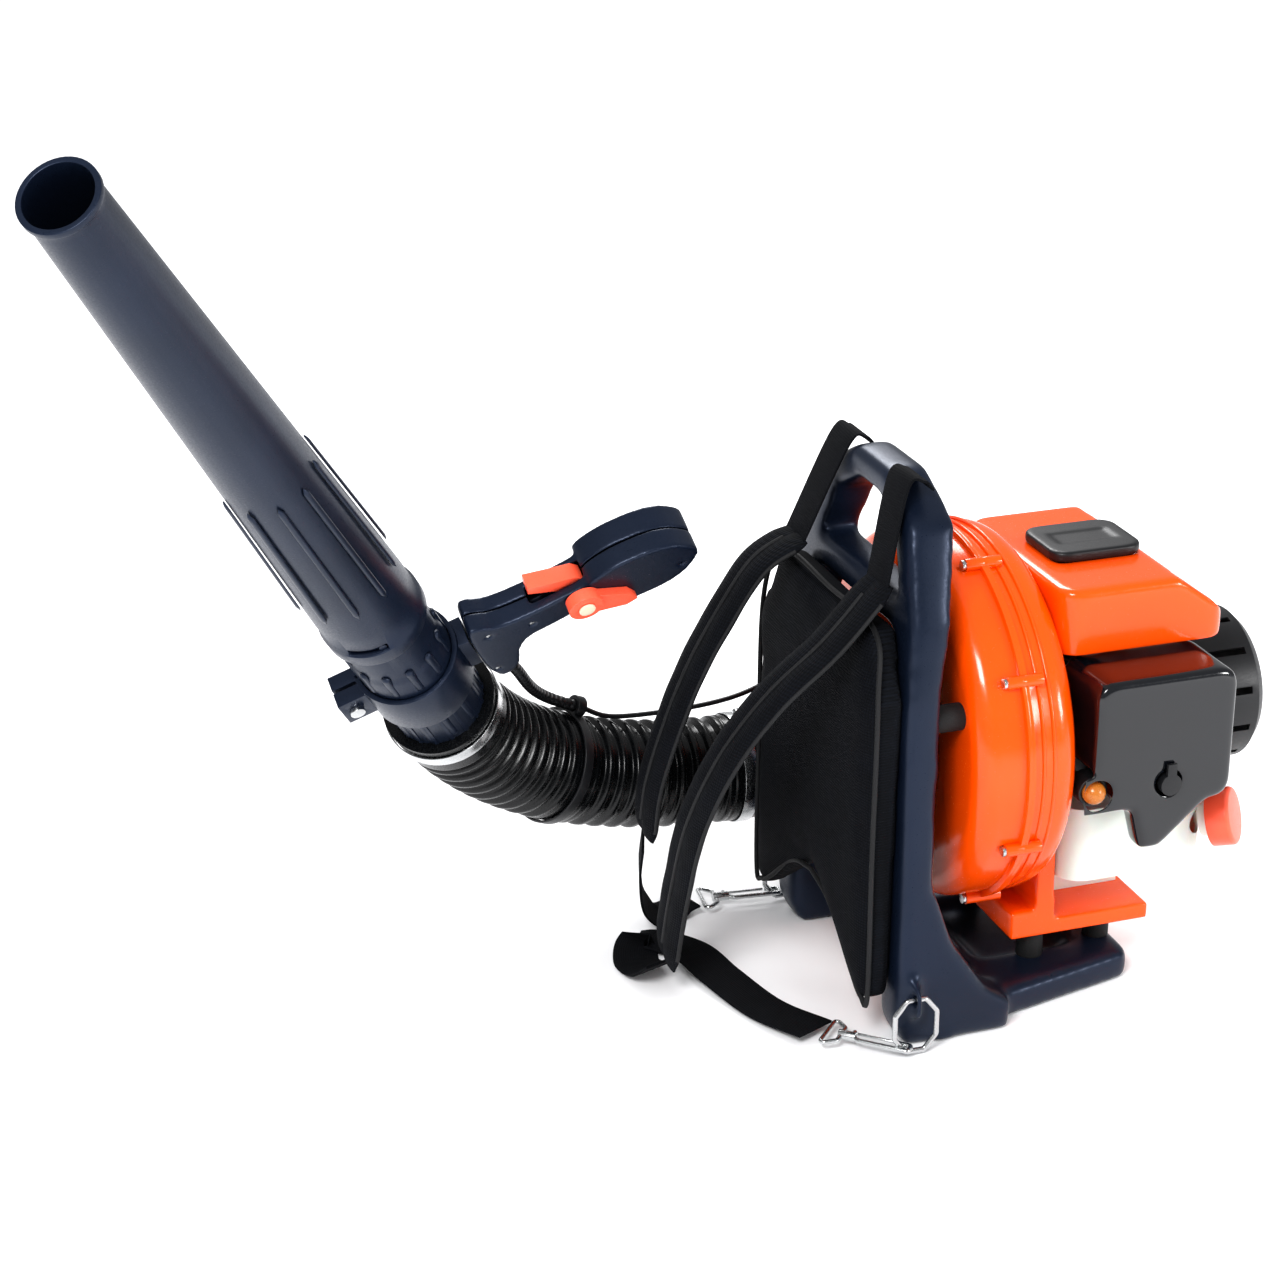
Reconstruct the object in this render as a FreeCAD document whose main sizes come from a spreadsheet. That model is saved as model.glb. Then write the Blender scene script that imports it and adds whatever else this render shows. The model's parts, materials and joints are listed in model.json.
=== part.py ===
import FreeCAD, Part
import math
import os
import re
import Sketcher

# Backpack leaf blower. Millimetres, +Z up, +X towards the engine, -X the way the wearer faces,
# +Y the wearer's right. The origin is on the floor, under the middle of the frame's base.

V = FreeCAD.Vector
X_AXIS, Y_AXIS, Z_AXIS = V(1, 0, 0), V(0, 1, 0), V(0, 0, 1)

SIZES = {
    # carrying frame
    "FrameHeight": (455, "floor to the top of the carry handle"),
    "FootHalf": (129, "middle of the frame to the outside of a leg, at the floor"),
    "PostHalf": (122, "middle of the frame to the outside of a post"),
    "PostWidth": (38, "width of a post, seen from the front"),
    "ShoulderHalf": (86, "middle of the frame to a shoulder of the carry loop"),
    "ShoulderHeight": ("=FrameHeight - 31", "floor to the shoulders of the carry loop"),
    "ElbowHeight": ("=FrameHeight - 103", "floor to where the posts turn in"),
    "BarHeight": ("=FrameHeight - 89", "floor to the top of the crossbar"),
    "BarDepth": (26, "height of the crossbar"),
    "HandleBar": (24, "thickness of the carry handle"),
    "FrontX": (-109, "front face of the posts"),
    "TopFrontX": (-92, "front face of the carry handle"),
    "PostDepth": (32, "front to back of a post"),
    "DeckRearX": (124, "back edge of the base"),
    "DeckFrontX": (-18, "front edge of the deck between the legs"),
    "DeckHeight": (26, "thickness of the base"),
    "DeckRearHalf": (84, "half of the base's width at the back"),
    "TrayDepth": (10, "depth of the deck's recess"),
    "LugReach": (22, "how far a strap lug stands out of its leg"),
    "LugThick": (8, "thickness of a strap lug"),
    "LugTop": (80, "floor to the top of a strap lug"),
    "RingHoleHeight": (50, "floor to the middle of a lug's hole"),
    "RingHoleRadius": (4.5, "radius of a lug's hole"),
    # back pad and harness
    "PadThick": (22, "thickness of the back pad"),
    "PadGap": (1, "back pad to the posts"),
    "PadHalf": (122, "half width of the back pad"),
    "PadTop": ("=FrameHeight - 103", "floor to the top of the back pad"),
    "PadFoot": (38, "floor to the pad's two lower corners"),
    "PadArch": (105, "floor to the top of the arch between the lower corners"),
    "StrapWidth": (50, "width of a padded shoulder strap"),
    "StrapThick": (12, "thickness of a padded shoulder strap"),
    "WebWidth": (38, "width of the webbing"),
    "WebThick": (2.2, "thickness of the webbing"),
    "RingWire": (2.2, "radius of the harness ring's wire"),
    "RingLength": (50, "outside height of a harness ring"),
    "RingWidth": (40, "outside width of a harness ring"),
    # blower housing
    "ShaftY": (0, "crankshaft, sideways from the middle of the frame"),
    "ShaftZ": (220, "crankshaft, above the floor"),
    "SeamX": (-10, "seam between the two halves of the volute"),
    "VoluteFrontX": (-52, "front face of the volute"),
    "VoluteRearX": (36, "rear face of the volute"),
    "ScrollLow": (142, "radius of the scroll, bottom to left"),
    "ScrollLeft": (156, "radius of the scroll, left to top"),
    "ScrollTop": (174, "radius of the scroll, top to right"),
    "ScrollWall": (2.6, "wall of the volute"),
    "ScrollRound": (20, "rounding of the volute's outer edges"),
    "FlangeReach": (5, "how far the seam flange stands out"),
    "FlangeThick": (3, "thickness of one half's seam flange"),
    "TongueY": (106, "inner wall of the outlet"),
    "OutletZ": (174, "floor to the outlet of the scroll"),
    "InletRadius": (66, "radius of the air inlet"),
    "HubHoleRadius": (30, "radius of the hole that the crankcase nose fits"),
    "OutletBore": (36, "radius of the outlet's bore"),
    "FanRadius": (112, "radius of the impeller"),
    "FanInner": (60, "inner radius of the blades"),
    "FanFrontX": (-42, "front edge of the blades"),
    "FanPlateX": (22, "front face of the impeller's back plate"),
    "FanPlate": (3, "thickness of the impeller's back plate"),
    "BladeThick": (2.5, "thickness of a blade"),
    "BladeCount": (14, "number of blades"),
    "GrilleBar": (2.4, "thickness of the inlet grille"),
    # engine
    "ShaftRadius": (7.5, "radius of the crankshaft"),
    "ShaftPlay": (0.03, "radial play of the crankshaft in its bearings"),
    "CaseFrontX": (36, "front face of the crankcase"),
    "CaseRearX": (128, "rear face of the crankcase"),
    "CaseHalf": (38, "half width of the crankcase"),
    "CaseBottom": (176, "floor to the bottom of the crankcase"),
    "CaseTop": (262, "floor to the top of the crankcase"),
    "CaseWall": (6, "wall of the crankcase"),
    "BearingRadius": (16, "outer radius of a main bearing"),
    "BearingWidth": (9, "width of a main bearing"),
    "CylinderX": (82, "cylinder, along the crankshaft"),
    "BoreRadius": (20, "radius of the cylinder's bore"),
    "CylinderTop": (322, "floor to the top of the cylinder head"),
    "FinHalf": (36, "half width of the cooling fins"),
    "FinPitch": (7.5, "spacing of the cooling fins"),
    "FinThick": (2.5, "thickness of a cooling fin"),
    "PistonHeight": (28, "height of the piston"),
    "FlywheelRadius": (46, "radius of the flywheel"),
    "FlywheelX": (146, "front face of the flywheel"),
    "FlywheelWidth": (16, "width of the flywheel"),
    "StarterX": (184, "front face of the starter housing"),
    "StarterRearX": (244, "rear face of the starter housing"),
    "StarterRadius": (64, "radius of the starter housing"),
    "StarterWall": (2.6, "wall of the starter housing"),
    "SkirtRadius": (53, "radius of the housing round the flywheel"),
    "PulleyRadius": (30, "radius of the rope pulley"),
    "PulleyWidth": (12, "width of the rope pulley"),
    "GripPullZ": (24, "starter rope, above the crankshaft"),
    # covers and fuel
    "CoverFrontX": (37, "front edge of the engine's top cover"),
    "CoverRearX": (184, "rear edge of the engine's top cover"),
    "CoverHalf": (92, "half width of the engine's top cover"),
    "CoverBottom": (300, "floor to the lower edge of the top cover"),
    "CoverTop": (357, "floor to the top of the top cover"),
    "CoverWall": (2.6, "wall of the covers"),
    "PlugCoverLength": (80, "length of the plug cover"),
    "PlugCoverWidth": (66, "width of the plug cover"),
    "PlugCoverX": (98, "middle of the plug cover"),
    "PlugCoverTop": (366, "floor to the top of the plug cover"),
    "CleanerFrontX": (46, "front face of the air cleaner's cover"),
    "CleanerRearX": (168, "rear face of the air cleaner's cover"),
    "CleanerNearY": (-142, "outer face of the air cleaner's cover"),
    "CleanerFarY": (-74, "edge of the cover that meets its base"),
    "CleanerBottom": (186, "floor to the lower edge of the air cleaner's cover"),
    "CleanerTop": (298, "floor to the top of the air cleaner's cover"),
    "NotchWidth": (26, "step at the cover's lower front corner, along the engine"),
    "NotchHeight": (34, "height of that step"),
    "SpoutDrop": (36, "how far the cover's spout hangs below its lower edge"),
    "ChokeRadius": (9, "radius of the choke lever's hub"),
    "PrimerRadius": (9.5, "radius of the primer bulb"),
    "PrimerX": (50, "primer bulb, along the engine"),
    "PrimerZ": (204, "primer bulb, above the floor"),
    "TankFrontX": (54, "front of the fuel tank"),
    "TankRearX": (183, "back of the fuel tank"),
    "TankNearY": (-88, "left side of the fuel tank"),
    "TankFarY": (84, "right side of the fuel tank"),
    "TankBottom": (100, "floor to the shoulders of the fuel tank"),
    "TankTop": (164, "floor to the top of the fuel tank"),
    "TankWall": (2.5, "wall of the fuel tank"),
    "CapRadius": (24, "radius of the fuel cap"),
    "CapHeight": (20, "height of the fuel cap"),
    "NeckRadius": (15, "outer radius of the filler neck"),
    "BracketBottom": (49, "floor to the bottom of the engine bracket"),
    "BracketThick": (14, "thickness of the engine bracket"),
    "BracketRearX": (140, "back edge of the engine bracket"),
    "BracketHalf": (76, "half width of the engine bracket"),
    "IsolatorRadius": (11, "radius of a rubber isolator"),
    # hose and wand
    "HoseRadius": (47, "outer radius of the corrugated hose"),
    "ClipGap": (0.6, "hose to the bands and clips round it"),
    "SpigotGap": (1.6, "hose's inside to the elbow's spigot"),
    "HoseWall": (3, "wall of the hose, with its corrugation"),
    "HoseEndX": (-115, "where the hose leaves the outlet elbow"),
    "HoseEndY": (192, "outlet elbow's mouth, sideways"),
    "HoseEndZ": (110, "outlet elbow's mouth, above the floor"),
    "CuffX": (-416, "rim of the hose's front cuff"),
    "CuffY": (100, "rim of the hose's front cuff, sideways"),
    "CuffZ": (253, "rim of the hose's front cuff, above the floor"),
    "WandHeading": (230.8, "compass angle of the wand from +X, degrees"),
    "WandRise": (46.1, "angle of the wand above the floor, degrees"),
    "GripRoll": (126, "angle of the handle round the wand, degrees"),
    "TubeRadius": (38, "outer radius of the tubes"),
    "TubeWall": (2, "wall of the tubes"),
    "CuffInside": (42, "how far the lower tube enters the cuff"),
    "LowerTubeTop": (196, "length of the lower tube above the cuff's rim"),
    "JointOverlap": (38, "how far the nozzle slides over the lower tube"),
    "JointGap": (0.4, "clearance of the sliding fits"),
    "NozzleTop": (731, "length of the wand above the cuff's rim"),
    "MouthRadius": (25, "outer radius of the nozzle's mouth"),
    "MouthRim": (2, "how far the mouth's bead stands out"),
    "ClampLow": (42, "lower edge of the handle clamp"),
    "ClampHigh": (88, "upper edge of the handle clamp"),
    "ClampWall": (4, "wall of the handle clamp"),
    "GripRoot": (44, "wand's axis to the root of the handle"),
    "GripLength": (150, "wand's axis to where the handle's head starts"),
    "HeadMiddle": (196, "wand's axis to the middle of the handle's head"),
    "HeadRadius": (44, "radius of the handle's head"),
    "GripBelow": (17, "parting line to the outer side of one half"),
    "GripAbove": (14, "parting line to the other side of the other half"),
    "HeadAbove": (22, "parting line to the far side of the handle's head"),
    "GripDepth": (32, "front to back of the handle"),
    "GripHeight": (75, "middle of the handle, along the wand"),
    "GripWall": (2.4, "wall of the handle's halves"),
    "PivotRadius": (4, "radius of the trigger's pivot pin"),
    "TriggerWidth": (14, "width of the trigger"),
    "TriggerGap": (0.5, "trigger to its slot, each side"),
    "CableRadius": (2.2, "radius of the throttle cable's sleeve behind the hose"),
    "ConduitRadius": (5, "radius of the throttle conduit"),
}

doc = FreeCAD.newDocument("leaf_blower")
sheet = doc.addObject("Spreadsheet::Sheet", "Sizes")
for row, (alias, (value, note)) in enumerate(SIZES.items(), 1):
    sheet.set(f"A{row}", note)
    sheet.set(f"B{row}", str(value))
    sheet.setAlias(f"B{row}", alias)
doc.recompute()

SUB_PARTS = []


# ---- shared ways of building ------------------------------------------------------------------

def cells(text):
    """Expression for FreeCAD: every name that starts with a capital is a cell of the sheet."""
    return re.sub(r"\b([A-Z]\w+)", r"Sizes.\1", str(text))


def size(text):
    """Value of an expression of the sheet's cells, in millimetres or degrees."""
    value = sheet.evalExpression(cells(text))
    return float(getattr(value, "Value", value))


def bind(thing, prop, text):
    thing.setExpression(prop, cells(text))


def named(thing, label, placement=None):
    """Make an object one of the blower's sub-parts."""
    thing.Label = label
    if placement is not None:
        thing.Placement = placement
    SUB_PARTS.append(thing)
    return thing


def block(low, high):
    """Box between two corners given as expressions."""
    box = doc.addObject("Part::Box", "Block")
    for prop, axis, near, far in zip(("Length", "Width", "Height"), "xyz", low, high):
        bind(box, prop, f"({far}) - ({near})")
        bind(box, f"Placement.Base.{axis}", near)
    return box


def aim(thing, base, along):
    thing.Placement.Rotation = FreeCAD.Rotation(Z_AXIS, along)
    for axis, place in zip("xyz", base):
        bind(thing, f"Placement.Base.{axis}", place)
    return thing


def rod(radius, length, base, along=Z_AXIS):
    cylinder = doc.addObject("Part::Cylinder", "Rod")
    bind(cylinder, "Radius", radius)
    bind(cylinder, "Height", length)
    return aim(cylinder, base, along)


def fused(pieces):
    union = doc.addObject("Part::MultiFuse", "Union")
    union.Shapes = pieces
    union.Refine = True
    return union


def cut(base, tools):
    result = doc.addObject("Part::Cut", "Cut")
    result.Base = base
    result.Tool = tools[0] if len(tools) == 1 else fused(tools)
    return result


def shared(first, second):
    common = doc.addObject("Part::MultiCommon", "Shared")
    common.Shapes = [first, second]
    return common


def group(solids):
    """Separate solids kept together as one sub-part."""
    compound = doc.addObject("Part::Compound", "Group")
    compound.Links = solids
    return compound


def plane_of(body, role):
    return next(feature for feature in body.Origin.OriginFeatures if feature.Role == role)


def profile(body, plane, loops, start="0"):
    """Sketch of closed outlines whose corners, centres and radii are expressions.

    A loop is a list of (x, y) corners or one (x, y, radius) circle.
    """
    sketch = body.newObject("Sketcher::SketchObject", "Profile")
    sketch.AttachmentSupport = (plane_of(body, plane), [""])
    sketch.MapMode = "FlatFace"
    bind(sketch, "AttachmentOffset.Base.z", start)

    def pin(shape, point, place):
        for kind, text in zip(("DistanceX", "DistanceY"), place):
            if abs(size(text)) < 1e-9:
                lock = "PointOnObject"
                axis = -2 if kind == "DistanceX" else -1
                sketch.addConstraint(Sketcher.Constraint(lock, shape, point, axis))
                continue
            rule = Sketcher.Constraint(kind, -1, 1, shape, point, size(text))
            number = sketch.addConstraint(rule)
            sketch.setExpression(f"Constraints[{number}]", cells(text))

    for loop in loops:
        if isinstance(loop, tuple):
            x, y, radius = loop
            ring = Part.Circle(V(size(x), size(y), 0), Z_AXIS, size(radius))
            shape = sketch.addGeometry(ring)
            pin(shape, 3, (x, y))
            number = sketch.addConstraint(Sketcher.Constraint("Radius", shape, size(radius)))
            sketch.setExpression(f"Constraints[{number}]", cells(radius))
            continue
        corners = [V(size(x), size(y), 0) for x, y in loop]
        first = sketch.GeometryCount
        for here, after in zip(corners, corners[1:] + corners[:1]):
            sketch.addGeometry(Part.LineSegment(here, after))
        for index, place in enumerate(loop):
            before = first + (index - 1) % len(loop)
            sketch.addConstraint(Sketcher.Constraint("Coincident", before, 2, first + index, 1))
            pin(first + index, 1, place)
    return sketch


def feature(body, kind, sketch):
    step = body.newObject(f"PartDesign::{kind}", kind)
    step.Profile = sketch
    body.Tip = step
    return step


def new_body():
    return doc.addObject("PartDesign::Body", "Body")


def slab(plane, loops, start, thick, body=None, kind="Pad"):
    """Outlines on a plane, padded (or pocketed) from start over thick along the plane's normal."""
    body = body or new_body()
    begin = start if kind == "Pad" else f"({start}) + ({thick})"
    step = feature(body, kind, profile(body, plane, loops, begin))
    bind(step, "Length", thick)
    return body


def turned(loop):
    """Outline of (radius, height) corners turned round the body's own Z axis."""
    body = new_body()
    sketch = profile(body, "XZ_Plane", [loop])
    step = feature(body, "Revolution", sketch)
    step.ReferenceAxis = (sketch, ["V_Axis"])
    step.Angle = 360
    return body


def ring_profile(inner, outer, low, high):
    return [(inner, low), (outer, low), (outer, high), (inner, high)]


def softened(base, radius, chosen):
    """Round the edges that the test picks."""
    doc.recompute()
    picked = [n for n, edge in enumerate(base.Shape.Edges, 1) if chosen(edge)]
    fillet = doc.addObject("Part::Fillet", "Rounded")
    fillet.Base = base
    fillet.Edges = [(n, size(radius), size(radius)) for n in picked]
    return fillet


def upright(edge, direction=Z_AXIS):
    """True for a straight edge along a direction."""
    if edge.Curve.TypeId != "Part::GeomLine":
        return False
    return abs(abs(edge.tangentAt(edge.FirstParameter).dot(direction)) - 1) < 1e-6


def own_shape(shape):
    piece = doc.addObject("Part::Feature", "Own")
    piece.Shape = shape
    return piece


def bent(points, radius, closed=False):
    """Wire through the points with a round bend at each corner."""
    count = len(points)
    corners = range(count) if closed else range(1, count - 1)
    bends = {}
    for i in corners:
        here, before, after = points[i], points[i - 1], points[(i + 1) % count]
        back, ahead = (before - here).normalize(), (after - here).normalize()
        half = back.getAngle(ahead) / 2
        reach = radius / math.tan(half)
        middle = (back + ahead).normalize() * (radius / math.sin(half) - radius)
        bends[i] = (here + back * reach, here + middle, here + ahead * reach)
    edges = []
    for i in range(count if closed else count - 1):
        j = (i + 1) % count
        start = bends[i][2] if i in bends else points[i]
        end = bends[j][0] if j in bends else points[j]
        edges.append(Part.LineSegment(start, end).toShape())
        if j in bends:
            edges.append(Part.Arc(*bends[j]).toShape())
    return Part.Wire(edges)


def round_bar(points, radius, bend, closed=False):
    """Round wire swept along straight runs and bends."""
    path = bent(points, bend, closed)
    first = path.Edges[0]
    tangent = first.tangentAt(first.FirstParameter)
    start = first.valueAt(first.FirstParameter)
    section = Part.Wire(Part.makeCircle(radius, start, tangent))
    return path.makePipeShell([section], True, False)


def ribbon(points, side, width, thick):
    """Flat strap along the points: width runs along side, thick across it."""
    sections = []
    for i, here in enumerate(points):
        ahead = points[min(i + 1, len(points) - 1)] - points[max(i - 1, 0)]
        across = (side - ahead * (side.dot(ahead) / ahead.dot(ahead))).normalize() * (width / 2)
        up = ahead.cross(across).normalize() * (thick / 2)
        corners = [here - across - up, here + across - up, here + across + up, here - across + up]
        sections.append(Part.makePolygon(corners + corners[:1]))
    return Part.makeLoft(sections, True, True)


def pipe_loft(stations, extra=0.0):
    """Solid through round sections given as (centre, direction, radius)."""
    rings = [Part.Wire(Part.makeCircle(radius + extra, middle, along))
             for middle, along, radius in stations]
    return Part.makeLoft(rings, True, False)


def bezier(points, amount):
    """Point and direction on a cubic curve."""
    a, b, c, d = points
    rest = 1 - amount
    place = a * rest**3 + b * (3 * rest**2 * amount) + c * (3 * rest * amount**2) + d * amount**3
    slope = (b - a) * (3 * rest**2) + (c - b) * (6 * rest * amount) + (d - c) * (3 * amount**2)
    return place, slope.normalize()


def turn(axis, degrees):
    return FreeCAD.Rotation(axis, degrees)


WAND_TURN = (turn(Z_AXIS, size("WandHeading"))
             .multiply(turn(Y_AXIS, 90 - size("WandRise")))
             .multiply(turn(Z_AXIS, size("GripRoll"))))
WAND = FreeCAD.Placement(V(size("CuffX"), size("CuffY"), size("CuffZ")), WAND_TURN)
SHAFT = FreeCAD.Placement(V(0, size("ShaftY"), size("ShaftZ")), turn(Y_AXIS, 90))


# ---- carrying frame, pad and harness --------------------------------------------------------------

def mirrored(points):
    """Outline symmetric about the middle of the frame, from its +Y half."""
    return points + [(f"-({y})", z) for y, z in reversed(points)]


def backpack_frame():
    front, top, depth = "FrontX", "TopFrontX", "PostDepth"
    side = [(f"{front} + 9", "0"), (f"{front} - 1", "20"), (f"{front} + 2", "ElbowHeight - 62"),
            (top, "FrameHeight"), (f"{top} + {depth} + 4", "FrameHeight"),
            (f"{top} + {depth} + 6", "ShoulderHeight"), (f"{front} + {depth} + 1", "ElbowHeight - 52"),
            (f"{front} + {depth} - 4", "141"), (f"{front} + {depth} + 15", "87"),
            (f"{front} + {depth} + 46", "DeckHeight + 16"), ("-8", "DeckHeight"), ("-8", "0")]
    outer = [("FootHalf", "0"), ("FootHalf + 4", "40"), ("FootHalf + 1", "150"),
             ("PostHalf", "ElbowHeight - 52"), ("PostHalf - 8", "ElbowHeight"),
             ("ShoulderHalf", "ShoulderHeight"), ("32", "FrameHeight")]
    posts = shared(slab("XZ_Plane", [side], "-160", "320"),
                   slab("YZ_Plane", [mirrored(outer)], "-200", "300"))
    between = [("FootHalf - PostWidth", "-1"), ("FootHalf + 1 - PostWidth", "150"),
               ("PostHalf - PostWidth", "ElbowHeight - 52"), ("PostHalf - PostWidth - 8", "BarHeight - BarDepth")]
    loop = [("ShoulderHalf - 8", "BarHeight"), ("ShoulderHalf - 22", "ShoulderHeight - 32"),
            ("ShoulderHalf - 28", "ShoulderHeight - 14"), ("20", "FrameHeight - HandleBar")]
    openings = [slab("YZ_Plane", [mirrored(edge)], "-200", "300") for edge in (between, loop)]
    deck = [("-62", "FootHalf"), ("-62", "FootHalf - PostWidth - 2"), ("DeckFrontX", "68"),
            ("DeckFrontX", "-68"), ("-62", "PostWidth + 2 - FootHalf"), ("-62", "-FootHalf"),
            ("1", "-112"), ("DeckRearX - 6", "-DeckRearHalf"), ("DeckRearX", "10 - DeckRearHalf"),
            ("DeckRearX", "DeckRearHalf - 10"), ("DeckRearX - 6", "DeckRearHalf"), ("1", "112")]
    base = slab("XY_Plane", [deck], "0", "DeckHeight")
    tray = block(("DeckFrontX + 16", "-50", "DeckHeight - TrayDepth"), ("80", "50", "DeckHeight + 1"))
    lugs = []
    for way in (-1, 1):
        outline = [("112", "16"), ("FootHalf + LugReach", "RingHoleHeight - 14"),
                   ("FootHalf + LugReach", "RingHoleHeight + 8"), ("112", "LugTop")]
        edge = [(f"({y}) * {way}", z) for y, z in outline]
        hole = (f"{way} * (FootHalf + LugReach - 10)", "RingHoleHeight", "RingHoleRadius")
        lugs.append(slab("YZ_Plane", [edge, hole], "FrontX + 7", "LugThick"))
    feet = [rod("14", "5", ("FrontX + 42", f"{way} * (FootHalf - 10)", "0")) for way in (-1, 1)]
    body = fused([cut(posts, openings), base])
    named(cut(fused([body] + lugs + feet), [tray]), "backpack_frame")


def back_pad():
    rear = "FrontX - 1 - PadGap"
    top = "FrontX + 2 - PadGap + (TopFrontX - FrontX - 2) * (PadTop - ElbowHeight + 62) / (FrameHeight - ElbowHeight + 62)"
    side = [(f"{rear} - PadThick", "PadFoot"), (f"{rear} - PadThick", "ElbowHeight - 62"),
            (f"{top} - PadThick", "PadTop"), (top, "PadTop"),
            (f"{rear} + 2", "ElbowHeight - 62"), (rear, "PadFoot")]
    right = [("0", "PadArch"), ("PadHalf - 12", "PadFoot"), ("PadHalf + 3", "PadFoot + 8"),
             ("PadHalf", "300"), ("PadHalf - 28", "PadTop"), ("0", "PadTop")]
    left = [(f"-({y})", z) for y, z in reversed(right[1:-1])]
    named(shared(slab("XZ_Plane", [side], "-150", "300"),
                 slab("YZ_Plane", [right[:-1] + left], "-200", "160")), "back_pad")


SHOULDER_ROUTES = {
    "left": [V(-108, -66, 377), V(-152, -72, 334), V(-196, -66, 292), V(-228, -52, 240),
             V(-246, -30, 176), V(-250, -4, 104), V(-250, 20, 34)],
    "right": [V(-124, 62, 372), V(-160, 63, 352), V(-190, 66, 306), V(-212, 70, 262),
              V(-229, 76, 212), V(-240, 86, 160), V(-242, 96, 112)],
}
LOWER_ROUTES = {
    "left": [V(-250, 24, 26), V(-256, 46, 8), V(-258, 74, 2.5), V(-240, 106, 2.5),
             V(-212, 70, 5.5), V(-202, 20, 5.5), V(-186, -40, 4), V(-163, -92, 9)],
    "right": [V(-243, 98, 104), V(-241, 112, 66), V(-233, 126, 30), V(-216, 138, 8),
              V(-198, 146, 5), V(-182, 149, 9)],
}


def hung(point):
    """A point of a strap, drawn on a frame 455 mm tall, on the frame as it is."""
    return V(point.x, point.y, point.z * size("FrameHeight") / 455)


def shoulder_straps():
    for side, route in SHOULDER_ROUTES.items():
        strap = ribbon([hung(point) for point in route], Y_AXIS, size("StrapWidth"), size("StrapThick"))
        named(own_shape(strap), f"{side}_shoulder_strap")


def lower_webbing():
    lean = {"left": V(0.85, 0.3, 0), "right": V(0.3, 0.9, 0)}
    bands = []
    for side, route in LOWER_ROUTES.items():
        hanging = [hung(point) for point in route]
        bands.append(own_shape(ribbon(hanging, lean[side], size("WebWidth"), size("WebThick"))))
    named(group(bands), "lower_webbing")


def upper_webbing():
    """Webbing that holds each shoulder strap to the crossbar."""
    bands = []
    for side, way in (("left", -1), ("right", 1)):
        above = size("BarHeight + WebThick / 2 + 0.8")
        strap_end, after = [hung(point) for point in SHOULDER_ROUTES[side][:2]]
        over = [V(size("TopFrontX") + 12, way * 56, above), V(size("TopFrontX") - 6, way * 57, above + 0.4),
                strap_end - (after - strap_end).normalize() * 1.2]
        bands.append(own_shape(ribbon(over, Y_AXIS, size("WebWidth"), size("WebThick"))))
    named(group(bands), "upper_webbing")


def wire_ring(middle, height, width, wire):
    """Six-sided ring of wire standing in the XZ plane."""
    tall, wide = height / 2 - wire, width / 2 - wire
    corners = [V(-wide * 0.45, 0, tall), V(wide * 0.45, 0, tall), V(wide, 0, tall * 0.45),
               V(wide, 0, -tall * 0.45), V(wide * 0.45, 0, -tall), V(-wide * 0.45, 0, -tall),
               V(-wide, 0, -tall * 0.45), V(-wide, 0, tall * 0.45)]
    return round_bar([middle + corner for corner in corners], wire, 4.5, True)


def ring_middle(way):
    height = size("RingHoleHeight + 2") - size("RingLength") / 2
    return V(size("FrontX + 7 + LugThick / 2"), way * size("FootHalf + LugReach - 10"), height)


def harness_rings():
    for side, way in (("left", -1), ("right", 1)):
        ring = wire_ring(ring_middle(way), size("RingLength"), size("RingWidth"), size("RingWire"))
        named(own_shape(ring), f"{side}_harness_ring")


def hook_frame(side, way):
    """Where a snap hook starts, its direction and the distance to the ring's wire."""
    end = hung(LOWER_ROUTES[side][-1])
    target = ring_middle(way) + V(-12, 0, -17.6)
    ahead = V(target.x - end.x, target.y - end.y, 0)
    gap = 10
    reach = ahead.Length - gap
    ahead.normalize()
    return V(end.x, end.y, target.z) + ahead * gap, ahead, reach


def snap_hooks():
    """Swivel snap hooks: a loop for the webbing, a swivel barrel, a hook and its sprung gate."""
    half = size("WebWidth / 2") + 2
    for side, way in (("left", -1), ("right", 1)):
        base, ahead, reach = hook_frame(side, way)
        across = V(-ahead.y, ahead.x, 0)

        def at(along, aside):
            return base + ahead * along + across * aside

        loop = round_bar([at(0, -half), at(0, half), at(12, half / 2), at(12, -half / 2)], 1.8, 3, True)
        barrel = Part.makeCylinder(4, 14, at(10, 0), ahead)
        ear = Part.makeCylinder(2, 7.4, at(21, 0), across)
        hook = round_bar([at(22, 0), at(28, -4.6), at(reach + 7, -4.6), at(reach + 7, 4.6),
                          at(reach - 5, 4.6)], 2, 2.5)
        named(own_shape(loop.fuse([barrel, ear, hook]).removeSplitter()), f"{side}_snap_hook")
        gate = Part.makeCylinder(1.2, reach - 30.2, at(24, 5.4), ahead)
        named(own_shape(gate), f"{side}_hook_gate")


# ---- blower housing -------------------------------------------------------------------------------

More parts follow.
